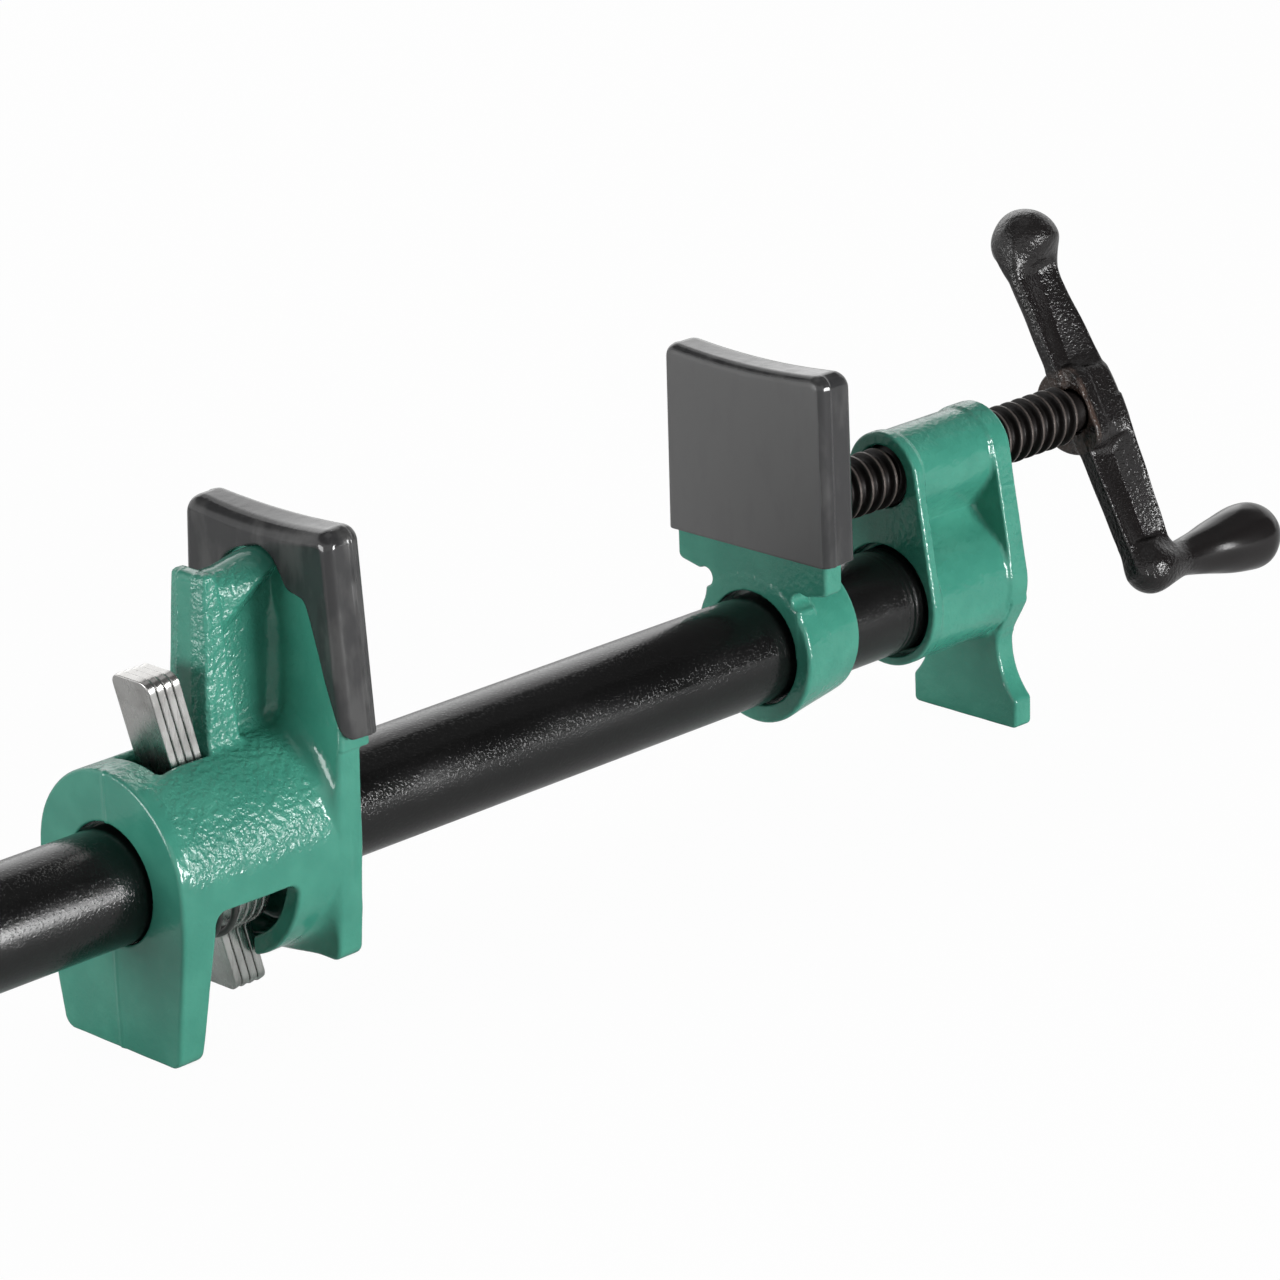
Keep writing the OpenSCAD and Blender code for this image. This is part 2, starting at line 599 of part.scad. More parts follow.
module tail_jaw()
    color(casting_green) difference() {
        union() {
            // Back wall and foot, thinner towards the bench
            intersection() {
                along_x(tail_back_x) linear_extrude(tail_back_t)
                    tail_back_outline();
                along_x_side(4 * tail_r)
                    polygon([[tail_back_x, 0], [tail_back_x + tail_foot_t, 0],
                             [tail_back_x + tail_back_t, axis_h - tail_r_rise],
                             [tail_back_x + tail_back_t, axis_h + 2 * tail_r],
                             [tail_back_x, axis_h + 2 * tail_r]]);
            }
            // Barrel, cut open below between the back wall and the front ring
            difference() {
                along_x(cavity_x0 - sink)
                    linear_extrude(cavity_x1 - cavity_x0 + 2 * sink) housing_section(tail_r);
                translate([cavity_x0 - sink - overrun, -2 * tail_r, -overrun])
                    cube([ring_x - cavity_x0 + sink + overrun, 4 * tail_r,
                          axis_h - tail_open_drop + overrun]);
            }
            // Front wall, and the jaw plate that stands a little in front of it
            along_x(cavity_x1) linear_extrude(tail_front_t)
                polygon([[-tail_low_w / 2, -tail_low_drop], [tail_low_w / 2, -tail_low_drop],
                         [tail_r, 0], [tail_plate_w / 2, pad_bottom - seat_gap],
                         [-tail_plate_w / 2, pad_bottom - seat_gap], [-tail_r, 0]]);
            along_x(plate_back_x) linear_extrude(tail_plate_t)
                polygon([[-tail_plate_w / 2, pad_bottom - 2 * pad_skin],
                         [tail_plate_w / 2, pad_bottom - 2 * pad_skin],
                         [tail_plate_w / 2, pad_bottom],
                         [tail_top_w / 2, jaw_top], [-tail_top_w / 2, jaw_top],
                         [-tail_plate_w / 2, pad_bottom]]);
            // Rib: a wide back edge, a thin web and a cap
            along_x_side(rib_w)
                polygon([[slot_front_x, rib_foot_z],
                         [slot_front_x + rib_lean, axis_h + rib_top],
                         [slot_front_x + rib_lean + rib_edge_top, axis_h + rib_top],
                         [slot_front_x + rib_edge_low, rib_foot_z]]);
            along_x_side(rib_web_t)
                polygon([[slot_front_x + rib_lean, rib_foot_z],
                         [slot_front_x + rib_lean + sink, axis_h + rib_top],
                         [plate_back_x + sink, axis_h + rib_top],
                         [plate_back_x + sink, rib_foot_z]]);
            along_x_side(rib_w)
                polygon([[slot_front_x + rib_lean + sink, axis_h + rib_top],
                         [plate_back_x + sink, axis_h + rib_top],
                         [plate_back_x + sink, axis_h + rib_top - rib_cap_t],
                         [slot_front_x + rib_lean + rib_edge_top - sink,
                          axis_h + rib_top - rib_cap_foot]]);
        }
        // Bore for the pipe, cavity for the plates and slot for their upper tabs
        tube_x(tail_back_x - overrun, tail_len + tail_plate_step + 2 * overrun, tail_bore_r);
        along_x(cavity_x0) linear_extrude(cavity_x1 - cavity_x0) housing_section(cavity_r);
        translate([cavity_x0, -slot_w / 2, axis_h])
            cube([slot_front_x - cavity_x0, slot_w, 2 * tail_r]);
        // Notch in the ring's underside for the lower tabs
        translate([ring_x - overrun, -slot_w / 2, -overrun])
            cube([notch_x - ring_x + overrun, slot_w, axis_h + overrun]);
    }

// Outline of a clutch plate: a round eye with a tab above and below
module clutch_outline() difference() {
    union() {
        circle(r = plate_r);
        translate([-tab_w / 2, -tab_bottom / cos(plate_tilt)])
            square([tab_w, (tab_top + tab_bottom) / cos(plate_tilt)]);
    }
    circle(r = plate_hole_r);
}

// One clutch plate, counted from the tail
module clutch_plate(i)
    color(bright_steel)
        translate([plate_4_x - (4 - i) * plate_pitch_x, 0, axis_h])
            rotate([0, -plate_tilt, 0]) rotate([90, 0, 90])
                linear_extrude(plate_t, center = true) clutch_outline();

// Centre line of the clutch spring: two turns that start and end below the pipe, the first along
// the back wall and the last along the slanted plate, with straight tips square to both
spring_turns = 2;
spring_sides = 6;
spring_rings = 8;             // rings of points in one turn
spring_tip = spring_wire;
spring_bend = spring_wire / 2;
spring_rise_shares = [0.17, 0.6]; // shares of its turns between which it crosses to the plate
plate_normal = [cos(plate_tilt), 0, sin(plate_tilt)];

function spring_coil(t) =
    let (a = 180 + 360 * spring_turns * t, y = -spring_r * sin(a), z = spring_r * cos(a),
         low = (1 - z / spring_r) / 2 * (spring_tip + spring_bend),
         wall_x = spring_x0 + spring_wire / 2 + low,
         plate_x = plate_1_back_x - z * tan(plate_tilt)
             - (seat_gap + spring_wire / 2 + low) / cos(plate_tilt),
         rise = spring_rise_shares,
         s = max(0, min(1, (t - rise[0]) / (rise[1] - rise[0]))))
    [wall_x + (plate_x - wall_x) * s, y, axis_h + z];
spring_steps = spring_turns * spring_rings;
function spring_path() =
    let (first = spring_coil(0), last = spring_coil(1))
    concat([[spring_x0, first[1], first[2]], [spring_x0 + spring_tip, first[1], first[2]]],
           [for (i = [1:spring_steps - 1]) spring_coil(i / spring_steps)],
           [last + plate_normal * spring_wire / 2,
            last + plate_normal * (spring_wire / 2 + spring_tip)]);

function unit(v) = v / norm(v);
// Ring of points round a place on a path, square to the path's direction there
function ring_at(path, i, sides, r) =
    let (n = len(path),
         ahead = i == 0 ? path[1] - path[0]
               : i == n - 1 ? path[n - 1] - path[n - 2]
               : unit(path[i + 1] - path[i]) + unit(path[i] - path[i - 1]),
         out = unit([0, path[i][1], path[i][2] - axis_h]),
         along = unit(ahead), up = unit(cross(along, out)), side = cross(up, along))
    [for (j = [0:sides - 1]) path[i] + r * (cos(360 * j / sides) * side
                                            + sin(360 * j / sides) * up)];

// Least distance between stretches of a path that lie at least half a turn apart, less its wire
function least_gap(path, apart, wire) =
    min([for (i = [0:len(path) - 1], j = [i + apart:1:len(path) - 1]) norm(path[i] - path[j])])
        - wire;

module swept_tube(path, sides, r) {
    n = len(path);
    points = [for (i = [0:n - 1]) each ring_at(path, i, sides, r)];
    walls = [for (i = [0:n - 2], j = [0:sides - 1])
        let (k = (j + 1) % sides, a = i * sides, b = a + sides)
        each [[a + j, b + k, b + j], [a + j, a + k, b + k]]];
    ends = [[for (j = [0:sides - 1]) sides - 1 - j], [for (j = [0:sides - 1]) (n - 1) * sides + j]];
    polyhedron(points, concat(walls, ends), convexity = 10);
}

module clutch_spring() {
    path = spring_path();
    echo(clutch_spring_least_gap = least_gap(path, spring_rings / 2, spring_wire));
    color(bright_steel) swept_tube(path, spring_sides, spring_wire / 2);
}

pipe();
head_casting();
main_screw();
crank_handle();
roll_pin(1);  // upper_roll_pin
roll_pin(-1);  // lower_roll_pin
sliding_jaw();
sliding_jaw_pad();
tail_jaw();
tail_jaw_pad();
clutch_plate(1);  // clutch_plate_1
clutch_plate(2);  // clutch_plate_2
clutch_plate(3);  // clutch_plate_3
clutch_plate(4);  // clutch_plate_4
clutch_spring();
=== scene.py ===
# %% [markdown]
# # A pipe clamp for woodworking
# The clamp is three green castings on a black iron pipe: a screw head, a sliding jaw that the
# screw pushes, and a tail jaw that grips the pipe with four leaning steel plates. This file dresses
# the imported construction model, whose pieces give every place. Sizes are in millimetres until a
# mesh is made.

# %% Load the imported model
import math

import bpy
import numpy as np
from mathutils import Matrix, Vector


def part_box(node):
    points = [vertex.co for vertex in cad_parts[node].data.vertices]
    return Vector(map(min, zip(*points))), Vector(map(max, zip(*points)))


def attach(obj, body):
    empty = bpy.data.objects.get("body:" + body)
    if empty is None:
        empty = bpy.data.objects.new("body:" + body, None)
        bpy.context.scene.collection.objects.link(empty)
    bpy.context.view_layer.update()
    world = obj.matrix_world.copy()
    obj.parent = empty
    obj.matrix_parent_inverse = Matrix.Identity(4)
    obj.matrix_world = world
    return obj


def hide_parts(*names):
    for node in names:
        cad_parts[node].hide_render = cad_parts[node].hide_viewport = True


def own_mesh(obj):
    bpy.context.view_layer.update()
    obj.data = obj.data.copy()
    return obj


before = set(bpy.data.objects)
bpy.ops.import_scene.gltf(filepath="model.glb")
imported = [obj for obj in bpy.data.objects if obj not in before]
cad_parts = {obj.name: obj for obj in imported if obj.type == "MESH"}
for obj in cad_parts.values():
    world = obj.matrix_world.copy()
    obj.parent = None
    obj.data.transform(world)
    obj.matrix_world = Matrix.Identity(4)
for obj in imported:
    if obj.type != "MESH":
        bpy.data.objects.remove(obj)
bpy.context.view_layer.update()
print("packed nodes:", len(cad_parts))

# %% [markdown]
# ## Places along the clamp
# The pipe lies along X, the crank is at its +X end and the sole of the feet is at Z = 0. The faces
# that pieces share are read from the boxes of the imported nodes.

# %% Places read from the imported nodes
MM = 0.001
TURN = 2 * math.pi
box = {node: np.array(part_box(node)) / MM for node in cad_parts}    # low and high corners
pipe_low, pipe_high = box["pipe"]
head_low, head_high = box["head_casting"]
jaw_low, jaw_high = box["sliding_jaw"]
tail_low, tail_high = box["tail_jaw"]
screw_low, screw_high = box["main_screw"]
pin_middle = box["lower_roll_pin"].mean(0)

PIPE_R, SCREW_R = 13.35, 7.6
AXIS_H, SCREW_H = (pipe_high + pipe_low)[2] / 2, (screw_high + screw_low)[2] / 2
SCREW_RISE = SCREW_H - AXIS_H
print(f"pipe radius {PIPE_R:.2f}, axis at {AXIS_H:.2f}, screw {SCREW_RISE:.2f} above it")

# %% [markdown]
# ## Solids as distance fields
# A casting is all fillets: every corner in its mould was rounded so that the iron would fill it.
# Bevelling a boolean mesh breaks where many edges meet. So a casting is written as a field, which
# gives at each point the distance to the surface, negative inside. Fields join and cut with a
# radius of their own, so that each fillet is one number.

# %% Simple fields
SHARP = 1e-6                # the radius of an edge that is left sharp


def slab(v, low, high):
    """Distance to the slab low < v < high: that to its middle less half its thickness."""
    return np.abs(v - (low + high) / 2) - (high - low) / 2


def disc(u, v, r, cu=0.0, cv=0.0):
    """Distance to a disc of radius r round (cu, cv)."""
    return np.hypot(u - cu, v - cv) - r


def right_of(u, v, p, q):
    """Distance to the right of the line from p to q. The solid lies on its left."""
    du, dv = q[0] - p[0], q[1] - p[1]
    return ((u - p[0]) * dv - (v - p[1]) * du) / math.hypot(du, dv)


# %% How fields join


def meet(a, b, r=SHARP):
    """What two fields share. Near the edge, the length of the pair taken r deeper is constant on
    a quarter circle, so the edge gets the radius r."""
    rounded = np.hypot(np.maximum(a + r, 0), np.maximum(b + r, 0))
    return np.minimum(-r, np.maximum(a, b)) + rounded


def join(a, b, r=SHARP):
    """Both fields together, with a fillet of radius r in the corner: meet(), inside out."""
    rounded = np.hypot(np.maximum(r - a, 0), np.maximum(r - b, 0))
    return np.maximum(r, np.minimum(a, b)) - rounded


def cut(a, b, r=SHARP):
    """Field a less field b, with its new edges rounded to r."""
    return meet(a, -b, r)


def ease(v, low, high):
    """0 below low, 1 above high, and the smooth step 3t^2 - 2t^3 between."""
    t = np.clip((v - low) / (high - low), 0, 1)
    return t * t * (3 - 2 * t)


def hand_finish(x, y, z, size, depth):
    """Slow unevenness of a hand-fettled casting: products of sines that never fall in step."""
    u, v, w = x / size, y / size, z / size
    waves = np.sin(2.1 * u + 1.3 * v) * np.sin(1.7 * v - 0.9 * w + 1)
    return depth * (waves + np.sin(1.9 * w + 1.1 * u + 2)) * 0.6


# %% [markdown]
# ## From a field to a mesh
# The field is worked out on a regular grid. Each cell that the surface crosses gets one vertex, at
# the mean of the places where the cell's edges cross it, and each crossed edge gets the quad of
# its four cells. The vertices are then pulled onto the surface along the field's slope, by the
# field's value over the slope. Slopes also give exact normals for smooth shading.

# %% Skin of a field
FINE = 1.0
PULLS = 4                   # times that the vertices are pulled in


def slope(field, p, step=0.02):
    """Gradient of the field at points p, by central differences."""
    sides = [field(*(p + axis).T) - field(*(p - axis).T) for axis in np.eye(3) * step]
    return np.stack(sides, 1) / (2 * step)


def skin(field, low, high, cell):
    """Vertices, quads and normals of the surface field = 0 between the corners low and high."""
    cell = cell * FINE
    low, high = np.array(low) - 2.5 * cell, np.array(high) + 2.5 * cell
    axes = [np.arange(a, b + cell, cell) for a, b in zip(low, high)]
    x, y, z = (a.astype(np.float32) for a in np.meshgrid(*axes, indexing="ij", sparse=True))
    shape = tuple(len(a) for a in axes)
    value = np.broadcast_to(field(x, y, z), shape).astype(np.float32)
    cells = tuple(n - 1 for n in shape)
    total, count = np.zeros((math.prod(cells), 3)), np.zeros(math.prod(cells))
    unit = np.eye(3, dtype=int)
    quads = []
    for axis in range(3):
        along, across, beyond = np.roll(unit, -axis, 0)
        crossed = np.argwhere(np.diff(value < 0, axis=axis))
        v0, v1 = value[tuple(crossed.T)], value[tuple((crossed + along).T)]
        place = crossed + along * (v0 / (v0 - v1))[:, None]
        ring = []
        for back, down in ((1, 1), (0, 1), (0, 0), (1, 0)):
            near = crossed - back * across - down * beyond
            flat = np.ravel_multi_index(tuple(near.T), cells)
            for k in range(3):
                total[:, k] += np.bincount(flat, place[:, k], len(total))
            count += np.bincount(flat, minlength=len(count))
            ring.append(flat)
        ring = np.stack(ring, 1)
        ring[v0 > 0] = ring[v0 > 0][:, ::-1]
        quads.append(ring)
    used = count > 0
    number = np.cumsum(used) - 1
    points = low + total[used] / count[used, None] * cell
    for _ in range(PULLS):
        g = slope(field, points)
        step = field(*points.T)[:, None] * g / np.maximum((g * g).sum(1), 0.2)[:, None]
        points -= np.clip(step, -cell / 2, cell / 2)
    normals = slope(field, points)
    normals /= np.maximum(np.linalg.norm(normals, axis=1), 1e-9)[:, None]
    return points, number[np.concatenate(quads)], normals


# %% [markdown]
# ## Meshes in the frame
# A finished piece keeps its object at the origin, and its place is in its vertices. It rides on a
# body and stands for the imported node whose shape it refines. Pieces are kept by slot, because each
# finish goes on all the pieces of one slot.

# %% Make a piece
pieces = {}


def make_piece(name, points, faces, body, slot, replaces, normals=None, masks=()):
    """A smooth shaded mesh from points in millimetres, riding on its body. masks are values from
    0 to 1 for its points, which its finish reads."""
    mesh = bpy.data.meshes.new(name)
    mesh.from_pydata((points.reshape(-1, 3) * MM).tolist(), [], faces.tolist())
    mesh.polygons.foreach_set("use_smooth", np.ones(len(mesh.polygons), bool))
    if normals is not None:
        mesh.normals_split_custom_set_from_vertices(normals.tolist())
    for mask, values in dict(masks).items():
        layer = mesh.attributes.new(mask, "FLOAT", "POINT")
        layer.data.foreach_set("value", np.ascontiguousarray(values, np.float32))
    mesh.update()
    piece = bpy.data.objects.new(name, mesh)
    bpy.context.scene.collection.objects.link(piece)
    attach(piece, body)
    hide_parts(replaces)
    pieces.setdefault(slot, []).append(piece)
    print(f"{name}: {len(mesh.vertices)} vertices, {len(mesh.polygons)} faces")
    return piece


def make_cast(name, field, cell, body, slot, replaces, masks, spare=0):
    """A piece from a distance field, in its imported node's box and spare millimetres round it."""
    low, high = box[replaces]
    points, quads, normals = skin(field, low - spare, high + spare, cell)
    return make_piece(name, points, quads, body, slot, replaces, normals, masks(points))


def wrap_quads(rows, columns, close_rows=False):
    """Quads of a grid of rows x columns of points whose columns close into rings."""
    i = np.arange(rows if close_rows else rows - 1)[:, None]
    j = np.arange(columns)[None, :]
    ahead, beside = (i + 1) % rows * columns, (j + 1) % columns
    at = i * columns
    return np.stack([at + j, ahead + j, ahead + beside, at + beside], -1).reshape(-1, 4)


# %% [markdown]
# ## The tail jaw
# An iron casting with an arched housing round the pipe, open below, where four plates lean in a
# cavity and stick out through a slot at the top. A rib ties the jaw plate to the housing. Its back
# flange, thin web and rounded cap are what a pattern maker leaves when the core has to pull out
# sideways.

# %% Tail jaw measures
# Heights are from the pipe's axis, and places along the casting from its rear face
TAIL_BACK, TAIL_FACE = tail_low[0], tail_high[0]
SOLE, JAW_TOP = -AXIS_H, tail_high[2] - AXIS_H
RIB_TOP = 65.0
PAD_FOOT = 26.2             # the pads' lower edges
HOUSING_R, CAVITY_R = 24.4, 20.0
ARCH_RISE, ARCH_DROP = 2.2, 1.6     # centres of the arches above and below the axis
HOUSING_LEN, FOOT_LEN = 49, 12
CAVITY_START, CAVITY_END = 9.8, 45
WALL_FACE, WALL_FOOT, WALL_FOOT_HALF = 52.3, -26.6, 22.2
PLATE_HALF, PLATE_TOP_HALF, PLATE_T = 25.2, 22.2, 6.8
OPENING_END, OPENING_TOP = 33, -3.5
SLOT_END, NOTCH, TAB_GAP = 24.1, (30, 36.9), 7.2    # for the plates' tabs, above and below
TAIL_BORE_R = PIPE_R + 0.7
print(f"tail {TAIL_FACE - TAIL_BACK:.1f} long, jaw plates {JAW_TOP:.1f} above the axis")

# %% Outlines of the tail jaw


def housing_outline(y, h, r):
    """Two arches and the straight sides between them, as a distance."""
    return np.hypot(y, h - np.clip(h, -ARCH_DROP, ARCH_RISE)) - r


def top_sag(y, half, front, rear, through):
    """How far a plate's top edge sags: a parabola, front deep at its face and rear deep behind."""
    return (1 - (y / half) ** 2) * (front + (rear - front) * np.clip(through, 0, 1))


def rear_wall(s, h):
    """An arch above the axis, whose straight sides are drawn in towards the sole."""
    below = -6.0 - h
    drawn = 0.15 * np.where(below < 3, np.maximum(below + 3, 0) ** 2 / 12, below)
    arch = np.hypot(s, np.maximum(h - ARCH_RISE, 0)) - (HOUSING_R - drawn)
    return meet(arch, SOLE - h, 2.8)


def tail_rib(a, h, y):
    """The rib: a back flange with a flat middle and drawn sides, a web, and a rounded cap with a
    sloping underside on each side."""
    s = np.abs(y)
    width = 7.0 - 1.4 * np.clip((h - 26) / 38.5, 0, 1)
    back = right_of(a, h, (26.3, 64.5), (23.4, 26)) + 0.2 * np.maximum(s - 2.2, 0)
    front = right_of(a, h, (33.7, 26), (30.7, 64.5))
    flange = meet(meet(back, front, 0.6), s - width, 0.9)
    flange = meet(meet(flange, h - RIB_TOP + 0.1, 1.4), 22 - h, 0.5)
    web = meet(meet(s - 2.7, slab(a, 27, 50), 0.5), np.maximum(h - 63, 22 - h), 0.5)
    round_r = 5.6 + 2.5 * ease(a, 31, 46)
    crown = RIB_TOP - 0.9 + 1.5 * ease(a, 34, 46)
    cap = np.hypot(s, np.maximum(h - crown + round_r, 0)) - round_r
    cap = meet(cap, 0.35 * (a - 31) + 0.75 * (s - 7) - 0.55 * (h - 54), 0.6)
    cap = np.maximum(cap, slab(a, 29, 50))
    return join(join(flange, web, 1.6), cap, 0.4)


# %% Field of the tail jaw


def tail_field(x, y, z):
    """The tail casting: rear wall and foot, housing, front wall, jaw plate and rib, less the
    opening below, the cavity, the slot, the notch and the bore."""
    a, h, s = x - TAIL_BACK, z - AXIS_H, np.abs(y)
    shell = np.minimum(np.maximum(rear_wall(s, h), a - FOOT_LEN),
                       np.maximum(housing_outline(s, h, HOUSING_R), 8 - a))
    shell = meet(shell, np.maximum(-a, a - HOUSING_LEN), 0.9)
    # The opening under the barrel
    foot = np.maximum(right_of(a, h, (7.2, SOLE), (CAVITY_START, -ARCH_RISE)), a - CAVITY_START)
    opening = meet(meet(-foot, a - OPENING_END, 0.5), h - OPENING_TOP, 2.6)
    shell = cut(shell, opening, 1.0)
    # Front wall, then the jaw plate above it
    wall_back = CAVITY_END + 3.2 * ease(h, 10, 46)
    wall = np.maximum(right_of(s, h, (WALL_FOOT_HALF, WALL_FOOT), (HOUSING_R, 0)),
                      right_of(s, h, (HOUSING_R, 0), (PLATE_HALF, PAD_FOOT)))
    wall = meet(meet(wall, WALL_FOOT - h, 2.6), h - PAD_FOOT - 1, 0.5)
    wall = meet(wall, np.maximum(wall_back - a, a - WALL_FACE), 1.1)
    sag = top_sag(y, PLATE_TOP_HALF, 1.4, 2.3, (TAIL_FACE - x) / PLATE_T)
    plate = right_of(s, h, (PLATE_HALF, PAD_FOOT), (PLATE_TOP_HALF, JAW_TOP))
    plate = meet(meet(plate, h - JAW_TOP + sag, 3.0), PAD_FOOT - 3 - h, 0.8)
    plate = meet(plate, np.maximum(wall_back - a, a - (TAIL_FACE - TAIL_BACK)), 1.0)
    corner = 0.4 + 4.4 * ease(h, 3, 16) + 4.8 * ease(-h, 6, 16)
    body = join(shell, np.minimum(wall, plate), corner)
    cavity = meet(housing_outline(s, h, CAVITY_R), slab(a, CAVITY_START, CAVITY_END), 1.5)
    body = cut(body, cavity, 0.7)
    tie = 1.6 + (1.4 - 2.75 * ease(h, 48, 56)) * ease(a, 34, 42)
    body = join(body, tail_rib(a, h, y), tie)
    slot = meet(meet(slab(a, CAVITY_START, SLOT_END), s - TAB_GAP, 0.8), -h)
    body = cut(body, slot, 0.8 + 1.6 * (1 - ease(a, 8, 16)))
    body = cut(body, meet(meet(slab(a, *NOTCH), s - TAB_GAP, 1.0), h), 0.8)
    body = cut(body, disc(y, h, TAIL_BORE_R, 0, 0.55), 0.6)
    seam = 0.22 * np.exp(-(y / 0.5) ** 2) * (1 - ease(a, 0.5, 1.5))     # where the mould parts
    return body - seam + hand_finish(x, y, z, 6.0, 0.06)


# %% Cast the tail jaw


def tail_grain(points):
    """Coarse sand marks on the barrel's upper side and the rib's flange, fainter in the cove."""
    a, y, h = (points - (TAIL_BACK, 0, AXIS_H)).T
    barrel = ease(a, 2, 5) * (1 - ease(a, 40, 44)) * ease(h, 2, 6) * (1 - ease(h, 27, 29))
    rib = ease(h, 24, 27) * (1 - ease(a, 36, 44)) * ease(np.abs(y), 2.0, 2.4)
    cove = 0.35 * ease(a, 37, 40) * ease(h, 27, 30) * (1 - ease(h, 58, 60))
    return {"grain": np.maximum(np.maximum(barrel, rib), cove)}


make_cast("tail_jaw_iron", tail_field, 0.62, "tail", "green_enamel", "tail_jaw", tail_grain)

# %% [markdown]
# ## The head
# The head holds the pipe's end and the screw above it. Its outline is two bosses and the straight
# sides that touch both. Between a thin rim in front and a thicker one behind, the bosses are a
# little lower, and the iron between them is hollowed to a cove on each side.

# %% Head casting
HEAD_FRONT = head_low[0]
HEAD_LEN = head_high[0] - HEAD_FRONT
BOSS_LOW_R, BOSS_TOP_R = 16.85, 11.4
HEAD_RIM, HEAD_REAR = 3.2, 6.2      # thickness of the rims
FOOT_HALF, NECK_HALF, FLARE_R = 17.3, 11.5, 19.8


def boss_hull(s, h):
    """Distance to the outline that two circles and their common tangents make."""
    lean = (BOSS_LOW_R - BOSS_TOP_R) / SCREW_RISE
    rise = math.sqrt(1 - lean * lean)
    along = -lean * s + rise * h
    straight = rise * s + lean * h - BOSS_LOW_R
    top = disc(s, h, BOSS_TOP_R, 0, SCREW_RISE)
    return np.where(along < 0, disc(s, h, BOSS_LOW_R),
                    np.where(along > rise * SCREW_RISE, top, straight))


def head_field(x, y, z):
    """The head: the hull of the bosses less its side coves, and the foot under its rear rim."""
    a, h, s = x - HEAD_FRONT, z - AXIS_H, np.abs(y)
    outline = boss_hull(s, h)
    block = meet(outline, slab(a, 0, HEAD_LEN), 0.8)
    low_r = BOSS_LOW_R - 0.7 * ease(h, -9, -2)
    core = np.minimum(disc(s, h, low_r), disc(s, h, BOSS_TOP_R - 0.6, 0, SCREW_RISE))
    core = join(core, np.maximum(s - 3.6, slab(h, 0, SCREW_RISE)), 6.0)
    block = cut(block, meet(-core, slab(a, HEAD_RIM, HEAD_LEN - HEAD_REAR), 1.5), 0.6)
    # Foot: a neck that flares out to a straight-sided sole
    foot = meet(s - FOOT_HALF, -disc(s, h, FLARE_R, NECK_HALF + FLARE_R, -BOSS_LOW_R), 0.5)
    foot = meet(meet(foot, SOLE - h, 1.4), h + 6)
    rear = join(foot, outline, 3.0)
    rear = meet(rear, slab(a, HEAD_LEN - HEAD_REAR, HEAD_LEN), 0.9)
    trimmed = np.maximum(block, a - HEAD_LEN + 2.6)
    under = 0.02 + 3.2 * ease(-h, 12, 14.5)
    body = np.minimum(join(block, rear), join(trimmed, rear, under))
    # The pipe's bore, its counterbore in front and the screw's bore
    body = cut(body, meet(disc(y, h, PIPE_R + 0.05), -a - 1), 0.4)
    body = cut(body, meet(disc(y, h, PIPE_R + 1.25), a - 4), 0.5)
    body = cut(body, disc(y, h, SCREW_R + 0.35, 0, SCREW_RISE), 0.7)
    return body + hand_finish(x, y, z, 5.0, 0.05)


def even_grain(points):
    """A light grain all over."""
    return {"grain": np.full(len(points), 0.25)}


make_cast("head_iron", head_field, 0.52, "pipe_and_head", "green_enamel", "head_casting",
          even_grain)

# %% [markdown]
# ## The sliding jaw
# A ring rides on the pipe, a plate stands in front of it, and a boss behind the plate takes the
# nose of the screw. The ring is drawn in towards its rear, as a pattern must be to leave the sand.

# %% Sliding jaw casting
JAW_FACE = jaw_low[0]
JAW_LEN = jaw_high[0] - JAW_FACE
JAW_HALF = (jaw_high[1] - jaw_low[1]) / 2
JAW_T, RING_LEN, RING_R = 7.7, 19.5, 19.1
STEP_HALF, NOSE_BOSS_R, JOURNAL_R, JOURNAL_START = 15.8, 9.7, 5.7, 9.5
JAW_RIB_TOP = JAW_TOP - 15.3
PIN_X, PIN_DROP = pin_middle[0], SCREW_H - pin_middle[2]


